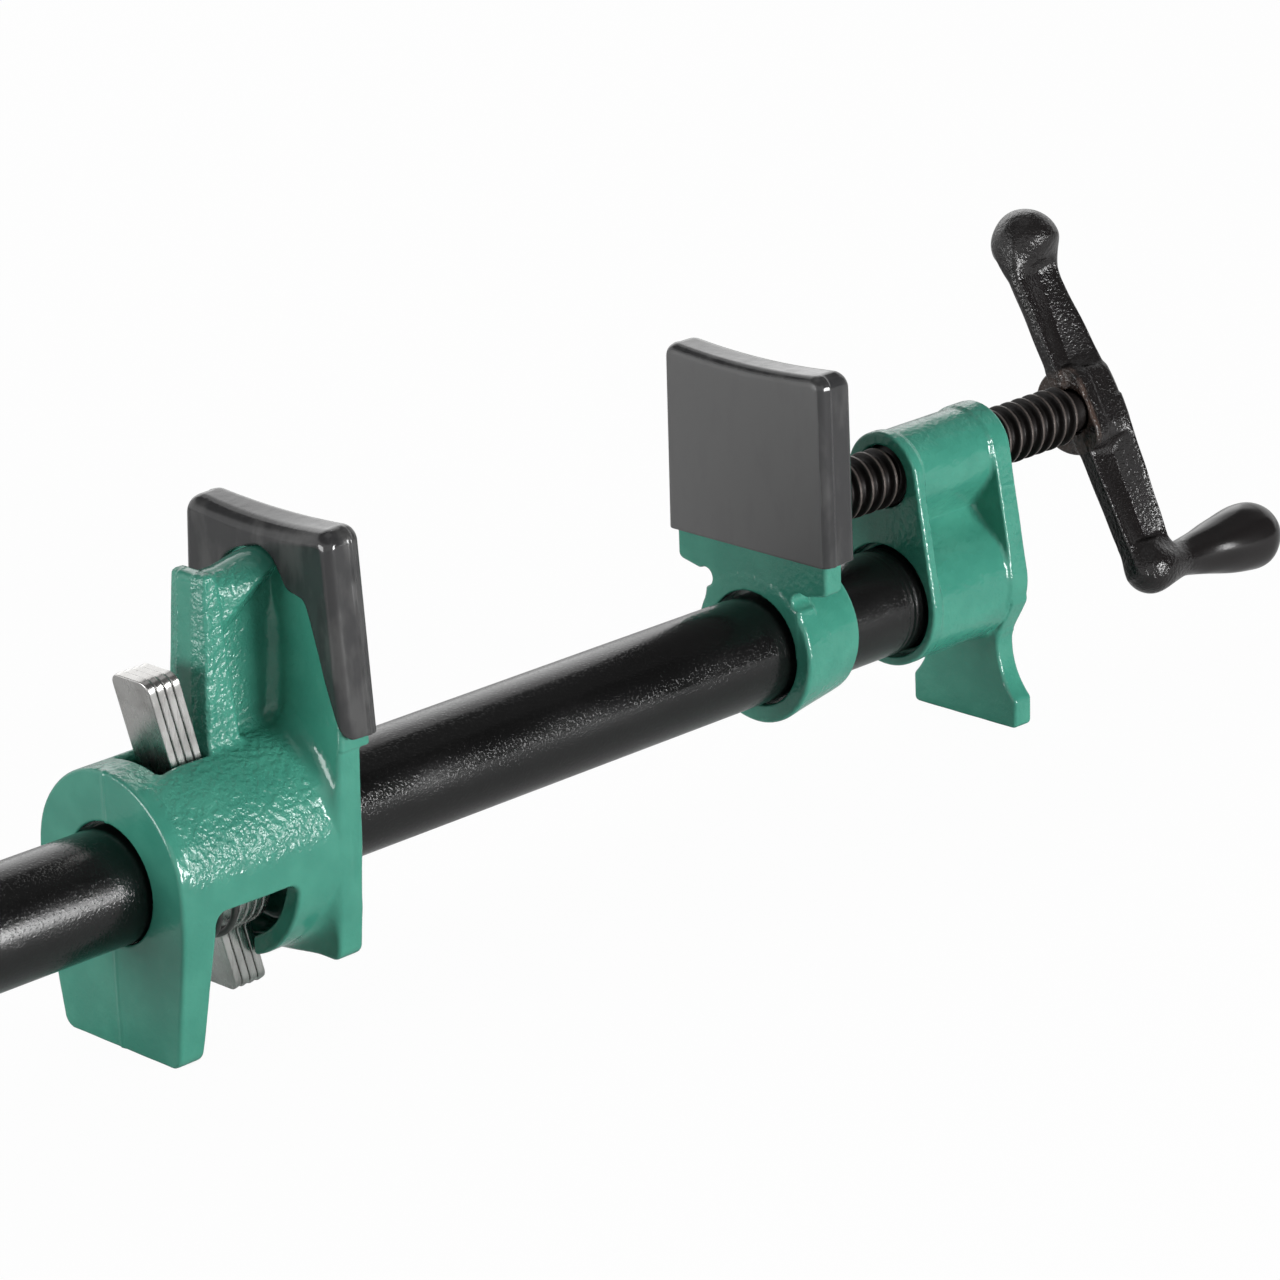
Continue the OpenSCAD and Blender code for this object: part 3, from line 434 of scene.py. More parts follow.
def sliding_field(x, y, z):
    """The sliding jaw: plate, neck, drawn ring, boss and rib, less the bores and the notches."""
    a, h, s = x - JAW_FACE, z - AXIS_H, np.abs(y)
    t = np.clip(a / RING_LEN, 0, 1)
    ring = np.hypot(s, h - 0.2 - 1.8 * t) - RING_R + 1.4 * t
    ring = meet(ring, slab(a, 0, RING_LEN), 1.2)
    neck = meet(s - JAW_HALF + 0.1, right_of(s, h, (16, 16.6), (JAW_HALF, 18.4)), 1.6)
    neck = np.minimum(neck, np.maximum(s - STEP_HALF, -h))
    neck = meet(neck, np.maximum(h - 30, slab(a, 0, 6.0)), 1.0)
    neck = cut(neck, disc(s, h, 2.4, STEP_HALF, 15.2), 0.6)
    sag = top_sag(y, JAW_HALF, 1.8, 1.8, a / JAW_T)
    plate = meet(meet(s - JAW_HALF, h - JAW_TOP + sag, 3.0), PAD_FOOT - h, 0.8)
    plate = meet(plate, slab(a, 0, JAW_T), 1.0)
    body = join(np.minimum(neck, plate), ring, 0.8)
    # Boss for the screw's nose, on a web that rises from the ring
    boss = meet(disc(y, h, NOSE_BOSS_R, 0, SCREW_RISE), slab(a, 2, JAW_LEN), 1.2)
    sloped = right_of(a, h, (RING_LEN - 1, 12), (JAW_LEN - 0.5, 27))
    stem = meet(s - NOSE_BOSS_R, np.maximum(10 - h, h - SCREW_RISE))
    stem = np.maximum(meet(stem, np.maximum(2 - a, sloped), 1.2), a - JAW_LEN + 0.5)
    rib = meet(s - 4, right_of(a, h, (JAW_LEN - 2, SCREW_RISE), (12.3, JAW_RIB_TOP)), 1.2)
    rib = meet(meet(rib, h - JAW_RIB_TOP, 1.5), np.maximum(SCREW_RISE - h, 3 - a))
    body = join(body, join(np.minimum(boss, stem), rib, 2.0), 2.4)
    bore = np.hypot(y, h - 0.3 - 0.8 * t) - (PIPE_R + 1.1 + 0.5 * t)
    body = cut(body, bore, 0.6)
    body = cut(body, meet(disc(y, h, JOURNAL_R, 0, SCREW_RISE), JOURNAL_START - a, 0.3), 0.5)
    for drop in (-PIN_DROP, PIN_DROP):
        body = cut(body, disc(x, h, 1.55, PIN_X, SCREW_RISE + drop), 0.3)
    return body + hand_finish(x, y, z, 5.0, 0.05)


make_cast("sliding_jaw_iron", sliding_field, 0.55, "jaw", "green_enamel", "sliding_jaw",
          even_grain)

# %% [markdown]
# ## The crank
# One casting: a hub with a round collar towards the screw, two arms, a knob on the upper arm and a
# grip at the end of the lower one. To save iron, the arms are a thin rib in front that opens to a
# flange behind, and the two slopes meet in a crease on each side.

# %% Arms of the crank
CRANK_TILT = math.radians(27.5)
ARM_X = box["crank_handle"][0, 0] + 16.95        # the plane that the arms lie in
COLLAR_R, COLLAR_FACE, EYE_R = 11.6, -7.2, 6.1
ARM_REACH, KNOB_R, GRIP_LEN = 44.6, 8.9, 38.5
RIM_HALF, CREASE_HALF = 2.2, 1.3    # half widths of an arm in front and at its crease


def crank_arm(a, b, c, front, waist, lip, back, wide):
    """One arm along +b, and the hollow in its sides: from a rim in front the side falls slowly to
    a crease, then rises to the lip of a flange. Pairs are values at hub and end."""
    t = np.clip((b - 10.5) / (ARM_REACH - 16), -0.3, 1.2)
    front, waist, lip, back, wide = (p + (q - p) * t for p, q in (front, waist, lip, back, wide))
    falling = RIM_HALF + (CREASE_HALF - RIM_HALF) * (a - front) / (waist - front)
    rising = CREASE_HALF + (wide - CREASE_HALF) * (a - waist) / (lip - waist)
    slopes = np.minimum(np.maximum(falling, rising), wide)
    hull = RIM_HALF + (wide - RIM_HALF) * np.clip((a - front) / (lip - front), 0, 1)
    bar = meet((np.abs(c) - hull) * 0.95, slab(a, front, back), 0.7)
    end = np.hypot(a, np.maximum(b - ARM_REACH + 6.6, 0)) - 9.6
    hollow = np.maximum((slopes - np.abs(c)) * 0.93, a - lip - 0.3)
    return np.maximum(bar, np.maximum(-b, end)), hollow


# %% Crank casting


def crank_field(x, y, z):
    """The crank: hub, collar, arms, knob, elbow and grip, less the screw's eye."""
    a, up = x - ARM_X, z - SCREW_H
    cos, sin = math.cos(CRANK_TILT), math.sin(CRANK_TILT)
    b, c = y * sin + up * cos, y * cos - up * sin
    upper, upper_hollow = crank_arm(a, b, c, (-8.6, -9.3), (-2.2, -1.0), (4.2, 4.0), (5.6, 5.2),
                                    (5.5, 2.0))
    lower, lower_hollow = crank_arm(a, -b, c, (-7.6, -6.9), (0.9, 1.0), (5.4, 5.8), (6.6, 7.1),
                                    (6.1, 3.7))
    # The knob is a ball that draws in to the arm like the end of an egg
    low = np.clip((ARM_REACH - b) / 13.5, 0, 2)
    egg = KNOB_R - 2.6 * low * low
    flat = c / (1 - 0.7 * ease(low, 0, 0.65))
    knob = np.sqrt((a + 1.6 * low * low) ** 2 + np.maximum(b - ARM_REACH, 0) ** 2 + flat ** 2)
    body = join(upper, (knob - egg) * 0.8, 3.0)
    body = cut(body, meet(upper_hollow, slab(b, 9.5, 39.5), 4.0), 1.0)
    # The grip starts as the elbow's ball, draws in to a neck, swells, and ends in another ball
    drop = 1.3 * np.clip(a / GRIP_LEN, 0, 1)
    off = np.hypot(b + ARM_REACH + drop, c)
    swell = 6.6 - 1.9 * ease(a, 0, 12) + 4.2 * ease(a, 9, GRIP_LEN)
    past = np.maximum(-a, a - GRIP_LEN)
    grip = (np.hypot(off, np.maximum(past, 0)) - swell) * 0.97
    lower = np.maximum(cut(lower, meet(lower_hollow, slab(-b, 9.5, 37.8), 1.5), 0.5), -45 - b)
    body = np.minimum(body, join(lower, grip, 2.2))
    # The hub's sides stand proud, and its back swells a little
    end = np.where(b > 0, b - 9.5, 0.72 * (-9.4 - b) + 0.69 * (np.abs(c) - 4.8))
    back = a - 6.4 - 1.4 * np.clip(1 - (b / 10) ** 2, 0, 1)
    hub = meet(meet(np.abs(c) - 6.6, np.maximum(-7.1 - a, back), 3.2), end, 1.8)
    body = join(body, hub, 1.0)
    radius = np.hypot(y, up)
    collar = meet(meet(radius - COLLAR_R, -6.6 - c, 3.0), slab(a, COLLAR_FACE, -2.0), 0.7)
    body = join(body, collar, 0.5)
    body = cut(body, np.maximum(radius - EYE_R, a + 4), 0.4)
    return body + hand_finish(x, y, z, 3.5, 0.08)


def crank_masks(points):
    """The turned grip is 1 in one mask, and the collar's flat face in another."""
    a, y, up = (points - (ARM_X, 0, SCREW_H)).T
    in_front = 1 - ease(a, COLLAR_FACE + 1, COLLAR_FACE + 2)
    return {"grip": ease(a, 9, 16), "hub": in_front * (1 - ease(np.hypot(y, up), 10.8, 11.8))}


make_cast("crank_iron", crank_field, 0.42, "screw_and_crank", "black_crank", "crank_handle",
          crank_masks, spare=2)

# %% [markdown]
# ## The pipe
# Plain black water pipe with a thread at each end. It is a profile turned round the axis, so it is
# a grid of two parameters: the station along the profile and the angle. The thread lowers the
# radius along a helix and fades out where the die stopped.

# %% Pipe
BORE_R = 10.45
PIPE_START, PIPE_END = pipe_low[0], pipe_high[0]
THREAD_PITCH, THREAD_DEPTH = 1.814, 0.9
RUNOUT = 9.0                # the die's lead-in scratches the pipe ahead of the full thread
PIPE_AROUND = 128


def pipe_radius(x, turn):
    """The pipe's outer radius less a V groove, whose depth fades away from each end."""
    near_head = x - (HEAD_FRONT - RUNOUT)
    near_tail = PIPE_START + 18 - x
    fade = 0.14 * ease(near_head, 0, RUNOUT) + 0.86 * ease(near_head, RUNOUT + 0.5, RUNOUT + 2)
    fade = fade + 0.14 * ease(near_tail, 0, 3) + 0.86 * ease(near_tail, 3, 5)
    phase = np.abs((x / THREAD_PITCH - turn) % 1 - 0.5) * 2
    return PIPE_R - THREAD_DEPTH * fade * np.clip(1.1 * phase - 0.1, 0, 1)


def turned(x, r, turn, height):
    """Points at the radii r and the turns (1 is a whole one) round an axis along X."""
    angle = TURN * turn
    return np.stack([x + 0 * r, r * np.sin(angle), r * np.cos(angle) + height], -1)


far_x = np.arange(PIPE_START + 1.2, PIPE_START + 23.9, 0.2)
smooth_x = np.linspace(PIPE_START + 24, HEAD_FRONT - 12, 40)
thread_x = np.arange(HEAD_FRONT - 12 + 0.2, HEAD_FRONT + 3, 0.2)
outer_x = np.concatenate([far_x, smooth_x, thread_x, [PIPE_END - 1.2]])
outer = [(x, PIPE_R) for x in outer_x]
bore = [(x, BORE_R) for x in np.linspace(PIPE_END - 2, PIPE_START + 2, 12)]
rim = np.array([(-0.4, PIPE_R - 0.8), (0, PIPE_R - 1.2), (0, PIPE_R - 1.4), (0, BORE_R + 0.5),
                (-0.1, BORE_R + 0.2), (-0.5, BORE_R)])
profile = np.concatenate([outer, rim + (PIPE_END, 0), bore, rim[::-1] * (-1, 1) + (PIPE_START, 0)])
station_x, station_r = profile.T[..., None]
is_outer = np.arange(len(profile))[:, None] < len(outer)
turn = np.arange(PIPE_AROUND) / PIPE_AROUND
radius = np.where(is_outer, pipe_radius(station_x, turn), station_r)
make_piece("black_pipe", turned(station_x, radius, turn, AXIS_H),
           wrap_quads(len(station_x), PIPE_AROUND, close_rows=True), "pipe_and_head",
           "black_iron_pipe", "pipe")

# %% [markdown]
# ## The screw
# A thread of narrow crests and wide grooves, cut on a plain bar. Its nose is turned down to a
# journal with a groove for the two pins, and its tail is a square that the crank was riveted on.
# All of it is one radius as a function of the place and the angle.

# %% Screw
SCREW_PITCH, SCREW_DEPTH = 4.233, 1.9
NOSE_X, TAIL_X = screw_low[0], screw_high[0]
THREAD_START, THREAD_STOP = jaw_high[0] + 0.3, ARM_X - 10.3
NECK_END, RIVET_X = ARM_X - 4.5, ARM_X + 6.2
NECK_R, TENON_HALF, RIVET_R = 5.5, 4.65, 4.2
SCREW_AROUND = 84


def screw_radius(x, turn):
    """Radius of the screw: journal and groove, thread, square tenon, riveted head. Then how much
    of a crest each place is."""
    phase = np.abs((x / SCREW_PITCH - turn) % 1 - 0.5) * 2
    crest = ease(phase, 0.60, 0.82)
    fade = ease(x, THREAD_START, THREAD_START + 3) * (1 - ease(x, THREAD_STOP - 2, THREAD_STOP))
    thread = SCREW_R - SCREW_DEPTH * (1 - crest * fade) + 0.02 * np.sin(9 * turn + x)
    journal = NECK_R + 0.05 - 1.5 * (np.abs(x - PIN_X) < 1.65)
    angle = TURN * turn
    square = TENON_HALF / np.maximum(np.abs(np.cos(angle)), np.abs(np.sin(angle)))
    dome = np.clip(1 - ((x - RIVET_X) / (TAIL_X + 0.1 - RIVET_X)) ** 2, 0.05, 1)
    r = np.where(x < THREAD_START, journal, thread)
    r = np.where(x > THREAD_STOP, NECK_R, r)
    r = np.where(x > NECK_END, np.minimum(square, 6.2), r)
    r = np.where(x > RIVET_X, RIVET_R * np.sqrt(dome), r)
    return np.minimum(r, (x - NOSE_X) * 1.2 + 4.6), ease(phase, 0.80, 0.90) * fade


screw_x = np.concatenate([np.arange(NOSE_X, THREAD_START - 0.2, 0.4),
                          np.arange(THREAD_START, THREAD_STOP - 0.1, 0.17),
                          np.arange(THREAD_STOP, RIVET_X - 0.35, 0.7),
                          np.linspace(RIVET_X, TAIL_X, 14)])
screw_x = np.pad(screw_x, 1, "edge")[:, None]
turn = np.arange(SCREW_AROUND) / SCREW_AROUND
radius, crest = screw_radius(screw_x, turn)
radius[[0, -1]] = 1e-3      # the ends close to their middles
make_piece("lead_screw", turned(screw_x, radius, turn, SCREW_H),
           wrap_quads(len(screw_x), SCREW_AROUND), "screw_and_crank", "black_steel_screw",
           "main_screw", masks={"crest": crest.ravel()})

# %% [markdown]
# ## Clutch plates
# Four eyes of bright steel with a tab above and below, blanked from strip. The outline is a field
# in the plate's own plane, found along rays from the middle of the hole and then spaced evenly,
# and a rounded section is carried round between the hole and the outline.

# %% Outline of a clutch plate
EYE_OUT_R, HOLE_R, STEEL_T = 18.3, 14.4, 2.05
TAB_HALF, TAB_TOP, TAB_BOTTOM = 6.3, 47.0, 33.4
PLATE_LEAN = math.radians(14.2)
PLATE_MIDDLE = 1.02         # from the low face to the middle of the steel, just under half of it
PLATE_AROUND = 300


def plate_outline(y, h):
    """A round eye joined with the two tabs, whose corners are rounded."""
    tab = meet(np.abs(y) - TAB_HALF, slab(h, -TAB_BOTTOM, TAB_TOP), 2.6)
    return join(disc(y, h, EYE_OUT_R), tab, 1.5)


def traced_outline(outline, reach, count):
    """Points of an outline: where the field turns positive along each ray from the middle, found
    by halving, then spaced evenly along the curve."""
    angle = np.linspace(0, TURN, 8001)
    low, high = np.full(angle.shape, 5.0), np.full(angle.shape, reach)
    for _ in range(30):
        middle = (low + high) / 2
        outside = outline(middle * np.sin(angle), middle * np.cos(angle)) > 0
        low, high = np.where(outside, low, middle), np.where(outside, middle, high)
    u, v = low * np.sin(angle), low * np.cos(angle)
    length = np.concatenate([[0], np.cumsum(np.hypot(np.diff(u), np.diff(v)))])
    at = np.arange(count) / count * length[-1]
    return np.stack([np.interp(at, length, u), np.interp(at, length, v)], 1)


def outward(loop):
    """Unit normals of a closed loop of points that runs clockwise from the top."""
    along = np.roll(loop, -1, 0) - np.roll(loop, 1, 0)
    along /= np.linalg.norm(along, axis=1)[:, None]
    normal = np.stack([-along[:, 1], along[:, 0]], 1)
    return normal * np.sign((normal * loop).sum())


def rounded_section(t, r, steps=3):
    """A plate's edge in rows: inset from the edge, height, and the normal's two parts."""
    a = np.linspace(0, math.pi / 2, steps + 1)
    inset, height = r - r * np.cos(a), t / 2 - r + r * np.sin(a)
    rows = np.stack([inset, height, np.cos(a), np.sin(a)], 1)
    return np.concatenate([rows[::-1] * (1, -1, 1, -1), rows])


# %% Clutch plates
edge_loop = traced_outline(plate_outline, 60, PLATE_AROUND)
spin = np.arctan2(edge_loop[:, 0], edge_loop[:, 1])
to_edge = np.stack([np.sin(spin), np.cos(spin)], 1)
rings, ring_normals = [], []
for loop, out, rows in ((edge_loop, outward(edge_loop), rounded_section(STEEL_T, 0.35)),
                        (to_edge * HOLE_R, -to_edge, rounded_section(STEEL_T, 0.3)[::-1])):
    for inset, height, out_part, up_part in rows:
        rings.append(np.insert(loop - out * inset, 0, height, axis=1))
        ring_normals.append(np.insert(out * out_part, 0, up_part, axis=1))
lean = np.array(Matrix.Rotation(-PLATE_LEAN, 3, "Y"))
for number in range(1, 5):
    node = f"clutch_plate_{number}"
    middle_x = box[node][0, 0] + PLATE_MIDDLE + TAB_TOP * math.sin(PLATE_LEAN)
    make_piece(node + "_steel", np.array(rings) @ lean.T + (middle_x, 0, AXIS_H),
               wrap_quads(len(rings), PLATE_AROUND, close_rows=True), f"plate_{number}",
               "plate_steel", node, np.array(ring_normals).reshape(-1, 3) @ lean.T)

# %% [markdown]
# ## The clutch spring
# It pushes the plates over until they bite. The wire starts at the rear wall, makes two turns and
# ends on the first plate, so the last turn leans as the plate does. Pressing a tab flattens it.

# %% Clutch spring
WIRE_R, COIL_R, SPRING_TURNS, WIRE_AROUND = 0.8, 18.1, 2, 14
spring_x = box["clutch_spring"][0, 0]
plate_one_x = box["clutch_plate_1"][0, 0] + TAB_TOP * math.sin(PLATE_LEAN)


def spring_line(t):
    """Centre line: two turns from below the pipe, that cross from the wall to the plate."""
    a = math.pi + TURN * SPRING_TURNS * t
    y, h = -COIL_R * np.sin(a), COIL_R * np.cos(a)
    wall_x = spring_x + WIRE_R + 0.2
    plate_x = plate_one_x - h * math.tan(PLATE_LEAN) - WIRE_R - 0.5
    x = wall_x + (plate_x - wall_x) * ease(t, 0.12, 0.66)
    return np.stack([x, y, h + AXIS_H], -1)


def swept(line, r, around):
    """A tube of radius r along a line: each ring stands square to the line, and its first point
    is away from the pipe's axis."""
    along = np.gradient(line, axis=0)
    along /= np.linalg.norm(along, axis=1)[:, None]
    out = line - (0, 0, AXIS_H)
    out[:, 0] = 0
    out -= (out * along).sum(1)[:, None] * along
    out /= np.linalg.norm(out, axis=1)[:, None]
    side = np.cross(along, out)
    a = TURN * np.arange(around)[None, :, None] / around
    return line[:, None] + r * (np.cos(a) * out[:, None] + np.sin(a) * side[:, None])


def shrunk(ring, scale):
    """A ring drawn in to its middle, to close the end of a tube."""
    return ring.mean(0) + (ring - ring.mean(0)) * scale


wire = swept(spring_line(np.linspace(0, 1, 240)), WIRE_R, WIRE_AROUND)
wire = np.stack([shrunk(wire[0], 1e-3), shrunk(wire[0], 0.8), *wire, shrunk(wire[-1], 0.8),
                 shrunk(wire[-1], 1e-3)])
spring = make_piece("clutch_spring_wire", wire, wrap_quads(len(wire), WIRE_AROUND), "tail",
                    "spring_steel", "clutch_spring")
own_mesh(spring)

# %% [markdown]
# ## Roll pins
# Two split pins across the jaw's boss lie in the journal's groove and keep the jaw on the screw.
# Each is a strip of spring steel rolled to a C.

# %% Roll pins
PIN_R, PIN_WALL, PIN_GAP = 1.47, 0.6, 0.25      # the gap is in radians, on each side
ARC = 40                    # points along the outside of the C, and along its inside


def roll_pin(node):
    """A C-shaped section carried along Y, with its ends drawn in a little."""
    low, high = box[node]
    middle_x, _, middle_z = box[node].mean(0)
    a = np.linspace(PIN_GAP, TURN - PIN_GAP, ARC)
    arc = np.stack([np.cos(a), np.sin(a)], 1)
    loop = np.concatenate([arc * PIN_R, arc[::-1] * (PIN_R - PIN_WALL)])
    inset = np.array([0.02, 0.05, 0.6])
    y = np.concatenate([low[1] + inset, high[1] - inset[::-1]])[:, None]
    draw = np.array([0.84, 0.9, 1, 1, 0.9, 0.84])[:, None]
    u, v = loop.T
    points = np.stack([middle_x + u * draw, y + 0 * u, middle_z + v * draw], -1)
    i, n = np.arange(ARC - 1), len(loop)
    first = np.stack([i, i + 1, n - 2 - i, n - 1 - i], 1)
    last = first[:, ::-1] + (len(y) - 1) * n
    return points, np.concatenate([wrap_quads(len(y), n), first, last])


for node in ("upper_roll_pin", "lower_roll_pin"):
    make_piece(node + "_steel", *roll_pin(node), "jaw", "pin_steel", node)

# %% [markdown]
# ## Dipped pads
# Each jaw plate wears a boot of soft vinyl, made by dipping a hot former. So its skin has an even
# thickness, its edges are round, its top sags between the corners, and its lower edge and the
# opening in its back were trimmed with a knife. A boot is the field of its outside less the field
# of the plate, less the opening.

# %% Outlines of the pads
SKIN_T, PAD_FIT = 1.6, 0.15
SKIN = SKIN_T + PAD_FIT


def loop_field(u, v, loop):
    """Distance to a closed loop: the least distance to an edge, negative where a ray to the side
    crosses an odd number of edges."""
    u, v = np.broadcast_arrays(u, v)
    least, inside = np.full(u.shape, 1e9), np.zeros(u.shape, bool)
    for (pu, pv), (qu, qv) in zip(loop, np.roll(loop, -1, 0)):
        du, dv = qu - pu, qv - pv
        t = np.clip(((u - pu) * du + (v - pv) * dv) / (du * du + dv * dv), 0, 1)
        least = np.minimum(least, np.hypot(u - pu - t * du, v - pv - t * dv))
        if dv:
            inside ^= ((pv > v) != (qv > v)) & (u < pu + (v - pv) / dv * du)
    return np.where(inside, -least, least)


def smooth_loop(points, per_edge=4):
    """A closed smooth curve through the points: from b to c it is a cubic whose slopes there are
    half of c - a and half of d - b."""
    a, b, c, d = (np.roll(points, shift, 0)[:, None] for shift in (1, 0, -1, -2))
    t = (np.arange(per_edge) / per_edge)[None, :, None]
    curve = 0.5 * (2 * b + (c - a) * t + (2 * a - 5 * b + 4 * c - d) * t ** 2
                   + (3 * b - a - 3 * c + d) * t ** 3)
    return curve.reshape(-1, 2)


def boot_field(b, y, h, t, low_half, top_half, sag, opening):
    """A boot round a plate of thickness t, whose face is at b = 0. sag lowers the middle of the
    top edge, first in front, then behind."""
    s = np.abs(y)
    bow = top_sag(y, top_half, *sag, b / t)
    top = JAW_TOP + SKIN - 0.9 * ease(b, t - 2, t + 2)
    bead = 0.3 * np.exp(-((b - 1.4) / 0.5) ** 2)
    side = right_of(s, h, (low_half, PAD_FOOT), (top_half, JAW_TOP)) - bead
    outside = meet(meet(side, h - top + bow, 3.8), slab(b, -SKIN, t + SKIN), 2.5)
    ragged = ease(b, 2, t) * (0.25 * np.sin(y * 0.9) + 0.15 * np.sin(y * 2.3 + b))
    outside = meet(outside, PAD_FOOT - 0.2 - h + ragged * 0.6, 0.4)
    inner = meet(right_of(s, h, (low_half - SKIN_T, PAD_FOOT), (top_half - SKIN_T, JAW_TOP)),
                 h - JAW_TOP - PAD_FIT + bow, 1.6)
    inner = np.maximum(inner, slab(b, -PAD_FIT, t + PAD_FIT))
    return cut(cut(outside, inner, 0.2), meet(opening, t - b, 0.3), 0.7)


# %% Pads
ARCH = smooth_loop([    # how the knife went round the rib's cap, and down each side
    (0, 65.9), (3.4, 65.0), (6.8, 64.0), (10.1, 62.0), (12.4, 59.4), (15.1, 57.4), (16.9, 53.5),
    (18.0, 48.5), (19.3, 44.2), (20.7, 38.8), (22.5, 33.4), (23.8, 30.0), (25.0, 27.8),
    (26.5, 26.4), (28.0, 25.5), (30.0, 20.0), (0, 14), (-30.0, 20.0), (-28.0, 25.5),
    (-26.5, 26.4), (-25.0, 27.8), (-23.8, 30.0), (-22.5, 33.4), (-20.6, 38.8), (-19.1, 44.2),
    (-17.8, 48.5), (-16.5, 52.8), (-15.1, 56.0), (-12.9, 56.9), (-9.7, 57.8), (-7.3, 61.2),
    (-5.2, 64.2), (-2.1, 65.8)])


def tail_pad_field(x, y, z):
    """The tail's boot, whose face looks along +X."""
    h = z - AXIS_H
    return boot_field(TAIL_FACE - x, y, h, PLATE_T, PLATE_HALF + SKIN, PLATE_TOP_HALF + SKIN,
                      (1.1, 2.0), loop_field(y, h, ARCH))


def sliding_pad_field(x, y, z):
    """The sliding jaw's boot, whose face looks along -X, with an opening round the boss."""
    h, s = z - AXIS_H, np.abs(y)
    opening = np.maximum(s - 22.5 + 0.16 * (h - PAD_FOOT), h - 56.5)
    opening = join(opening, disc(s, h, 12.6, 0, SCREW_RISE + 16), 2.0)
    return boot_field(x - JAW_FACE, y, h, JAW_T, 26.75, 26.2, (1.5, 1.5), opening)


def working_face(points, face_x):
    """1 on the face that clamps the work, 0 from half a millimetre behind it."""
    return {"face": 1 - ease(np.abs(points[:, 0] - face_x), 0.1, 0.5)}


for name, field, node, body, end in (
        ("tail_pad_vinyl", tail_pad_field, "tail_jaw_pad", "tail", 1),
        ("sliding_pad_vinyl", sliding_pad_field, "sliding_jaw_pad", "jaw", 0)):
    face_x = box[node][end, 0]
    pad = make_cast(name, field, 0.5, body, "grey_vinyl", node,
                    lambda points: working_face(points, face_x))

# %% [markdown]
# ## Finishes
# A finish is arithmetic on sockets. Wire wraps one socket, so that masks and noises can be added
# and multiplied like numbers, and Board adds any other node with one method.

# %% Wires


class Wire:
    """One output socket, with the arithmetic that the finishes use."""

    def __init__(self, board, socket):
        self.board, self.socket = board, socket

    def math(self, operation, *values):
        """A Math node on these values."""
        return self.board.node("Math", {"operation": operation}, values)

    def __add__(self, other):
        return self.math("ADD", self, other)

    def __mul__(self, other):
        return self.math("MULTIPLY", self, other)

    def __rsub__(self, other):
        return self.math("SUBTRACT", other, self)

    __radd__, __rmul__ = __add__, __mul__

    def either(self, other):
        """The greater of two values, which is "or" for masks."""
        return self.math("MAXIMUM", self, other)

    def between(self, low, high, to_low=0.0, to_high=1.0):
        """This value eased from low..high to to_low..to_high."""
        return self.board.node("MapRange", {"interpolation_type": "SMOOTHSTEP"},
                               (self, low, high, to_low, to_high))


# %% Boards and finishes


class Board:
    """A node tree, and the one method that adds any node to it."""

    def __init__(self, tree):
        self.tree = tree
        tree.nodes.clear()

    def plug(self, socket, value):
        """Link a wire to an input socket, or set a plain value on it."""
        if isinstance(value, Wire):
            self.tree.links.new(value.socket, socket)
        else:
            socket.default_value = value

    def node(self, kind, settings=(), inputs=(), out=0):
        """Add a node: its type, its settings, then the values or wires of its sockets."""
        node = self.tree.nodes.new("ShaderNode" + kind)
        for key, value in dict(settings).items():
            setattr(node, key, value)
        for key, value in inputs.items() if isinstance(inputs, dict) else enumerate(inputs):
            self.plug(node.inputs[key], value)
        return Wire(self, node.outputs[out]) if node.outputs else None


class Finish(Board):
    """A material whose surface is one Principled shader, on all pieces of a slot."""

    def __init__(self, name, slot, **values):
        material = bpy.data.materials.new(name)
        material.use_nodes = True
        super().__init__(material.node_tree)
        self.surface = self.node("BsdfPrincipled")
        self.node("OutputMaterial", (), (self.surface,))
        self.place = self.node("TexCoord", out="Object")
        self.set(**values)
        for piece in pieces[slot]:
            piece.data.materials.append(material)
        print(f"{name}:", ", ".join(piece.name for piece in pieces[slot]))

    def set(self, **values):
        """Give the shader's sockets values or wires."""
        for socket, value in values.items():
            self.plug(self.surface.socket.node.inputs[socket.replace("_", " ")], value)

    def noise(self, size, detail=2.0, stretch=None):
        """Noise whose lumps are about size millimetres wide, stretched by axis if asked."""
        place = self.place
        if stretch:
            place = self.node("VectorMath", {"operation": "MULTIPLY"}, (place, stretch))
        return self.node("TexNoise", inputs={
            "Vector": place, "Scale": 1 / (size * MM), "Detail": detail})

    def mask(self, name):
        """A mask that the mesh carries."""
        return self.node("Attribute", {"attribute_name": name}, out="Fac")

    def blend(self, factor, first, second):
        """Colour from first to second by the factor. A Mix node's colours are at sockets 6 and 7,
        and its result at 2."""
        return self.node("Mix", {"data_type": "RGBA"},
                         {0: factor, 6: first, 7: second}, 2)

    def bump(self, height, depth):
        """Relief of a depth in millimetres, for the shader's normal."""
        return self.node("Bump", inputs={"Distance": depth * MM, "Height": height})


def srgb(r, g, b):
    """A colour given as it looks on screen, 0 to 255, as the linear colour that shaders use."""
    c = np.array([r, g, b]) / 255
    return (*np.where(c <= 0.04045, c / 12.92, ((c + 0.055) / 1.055) ** 2.4), 1.0)


# %% [markdown]
# ## Green enamel
# Stoved gloss enamel on raw iron. The paint fills the finest grains of the sand, so the relief is
# soft pebbles about a millimetre across, strongest where the mask says that the sand was coarse.

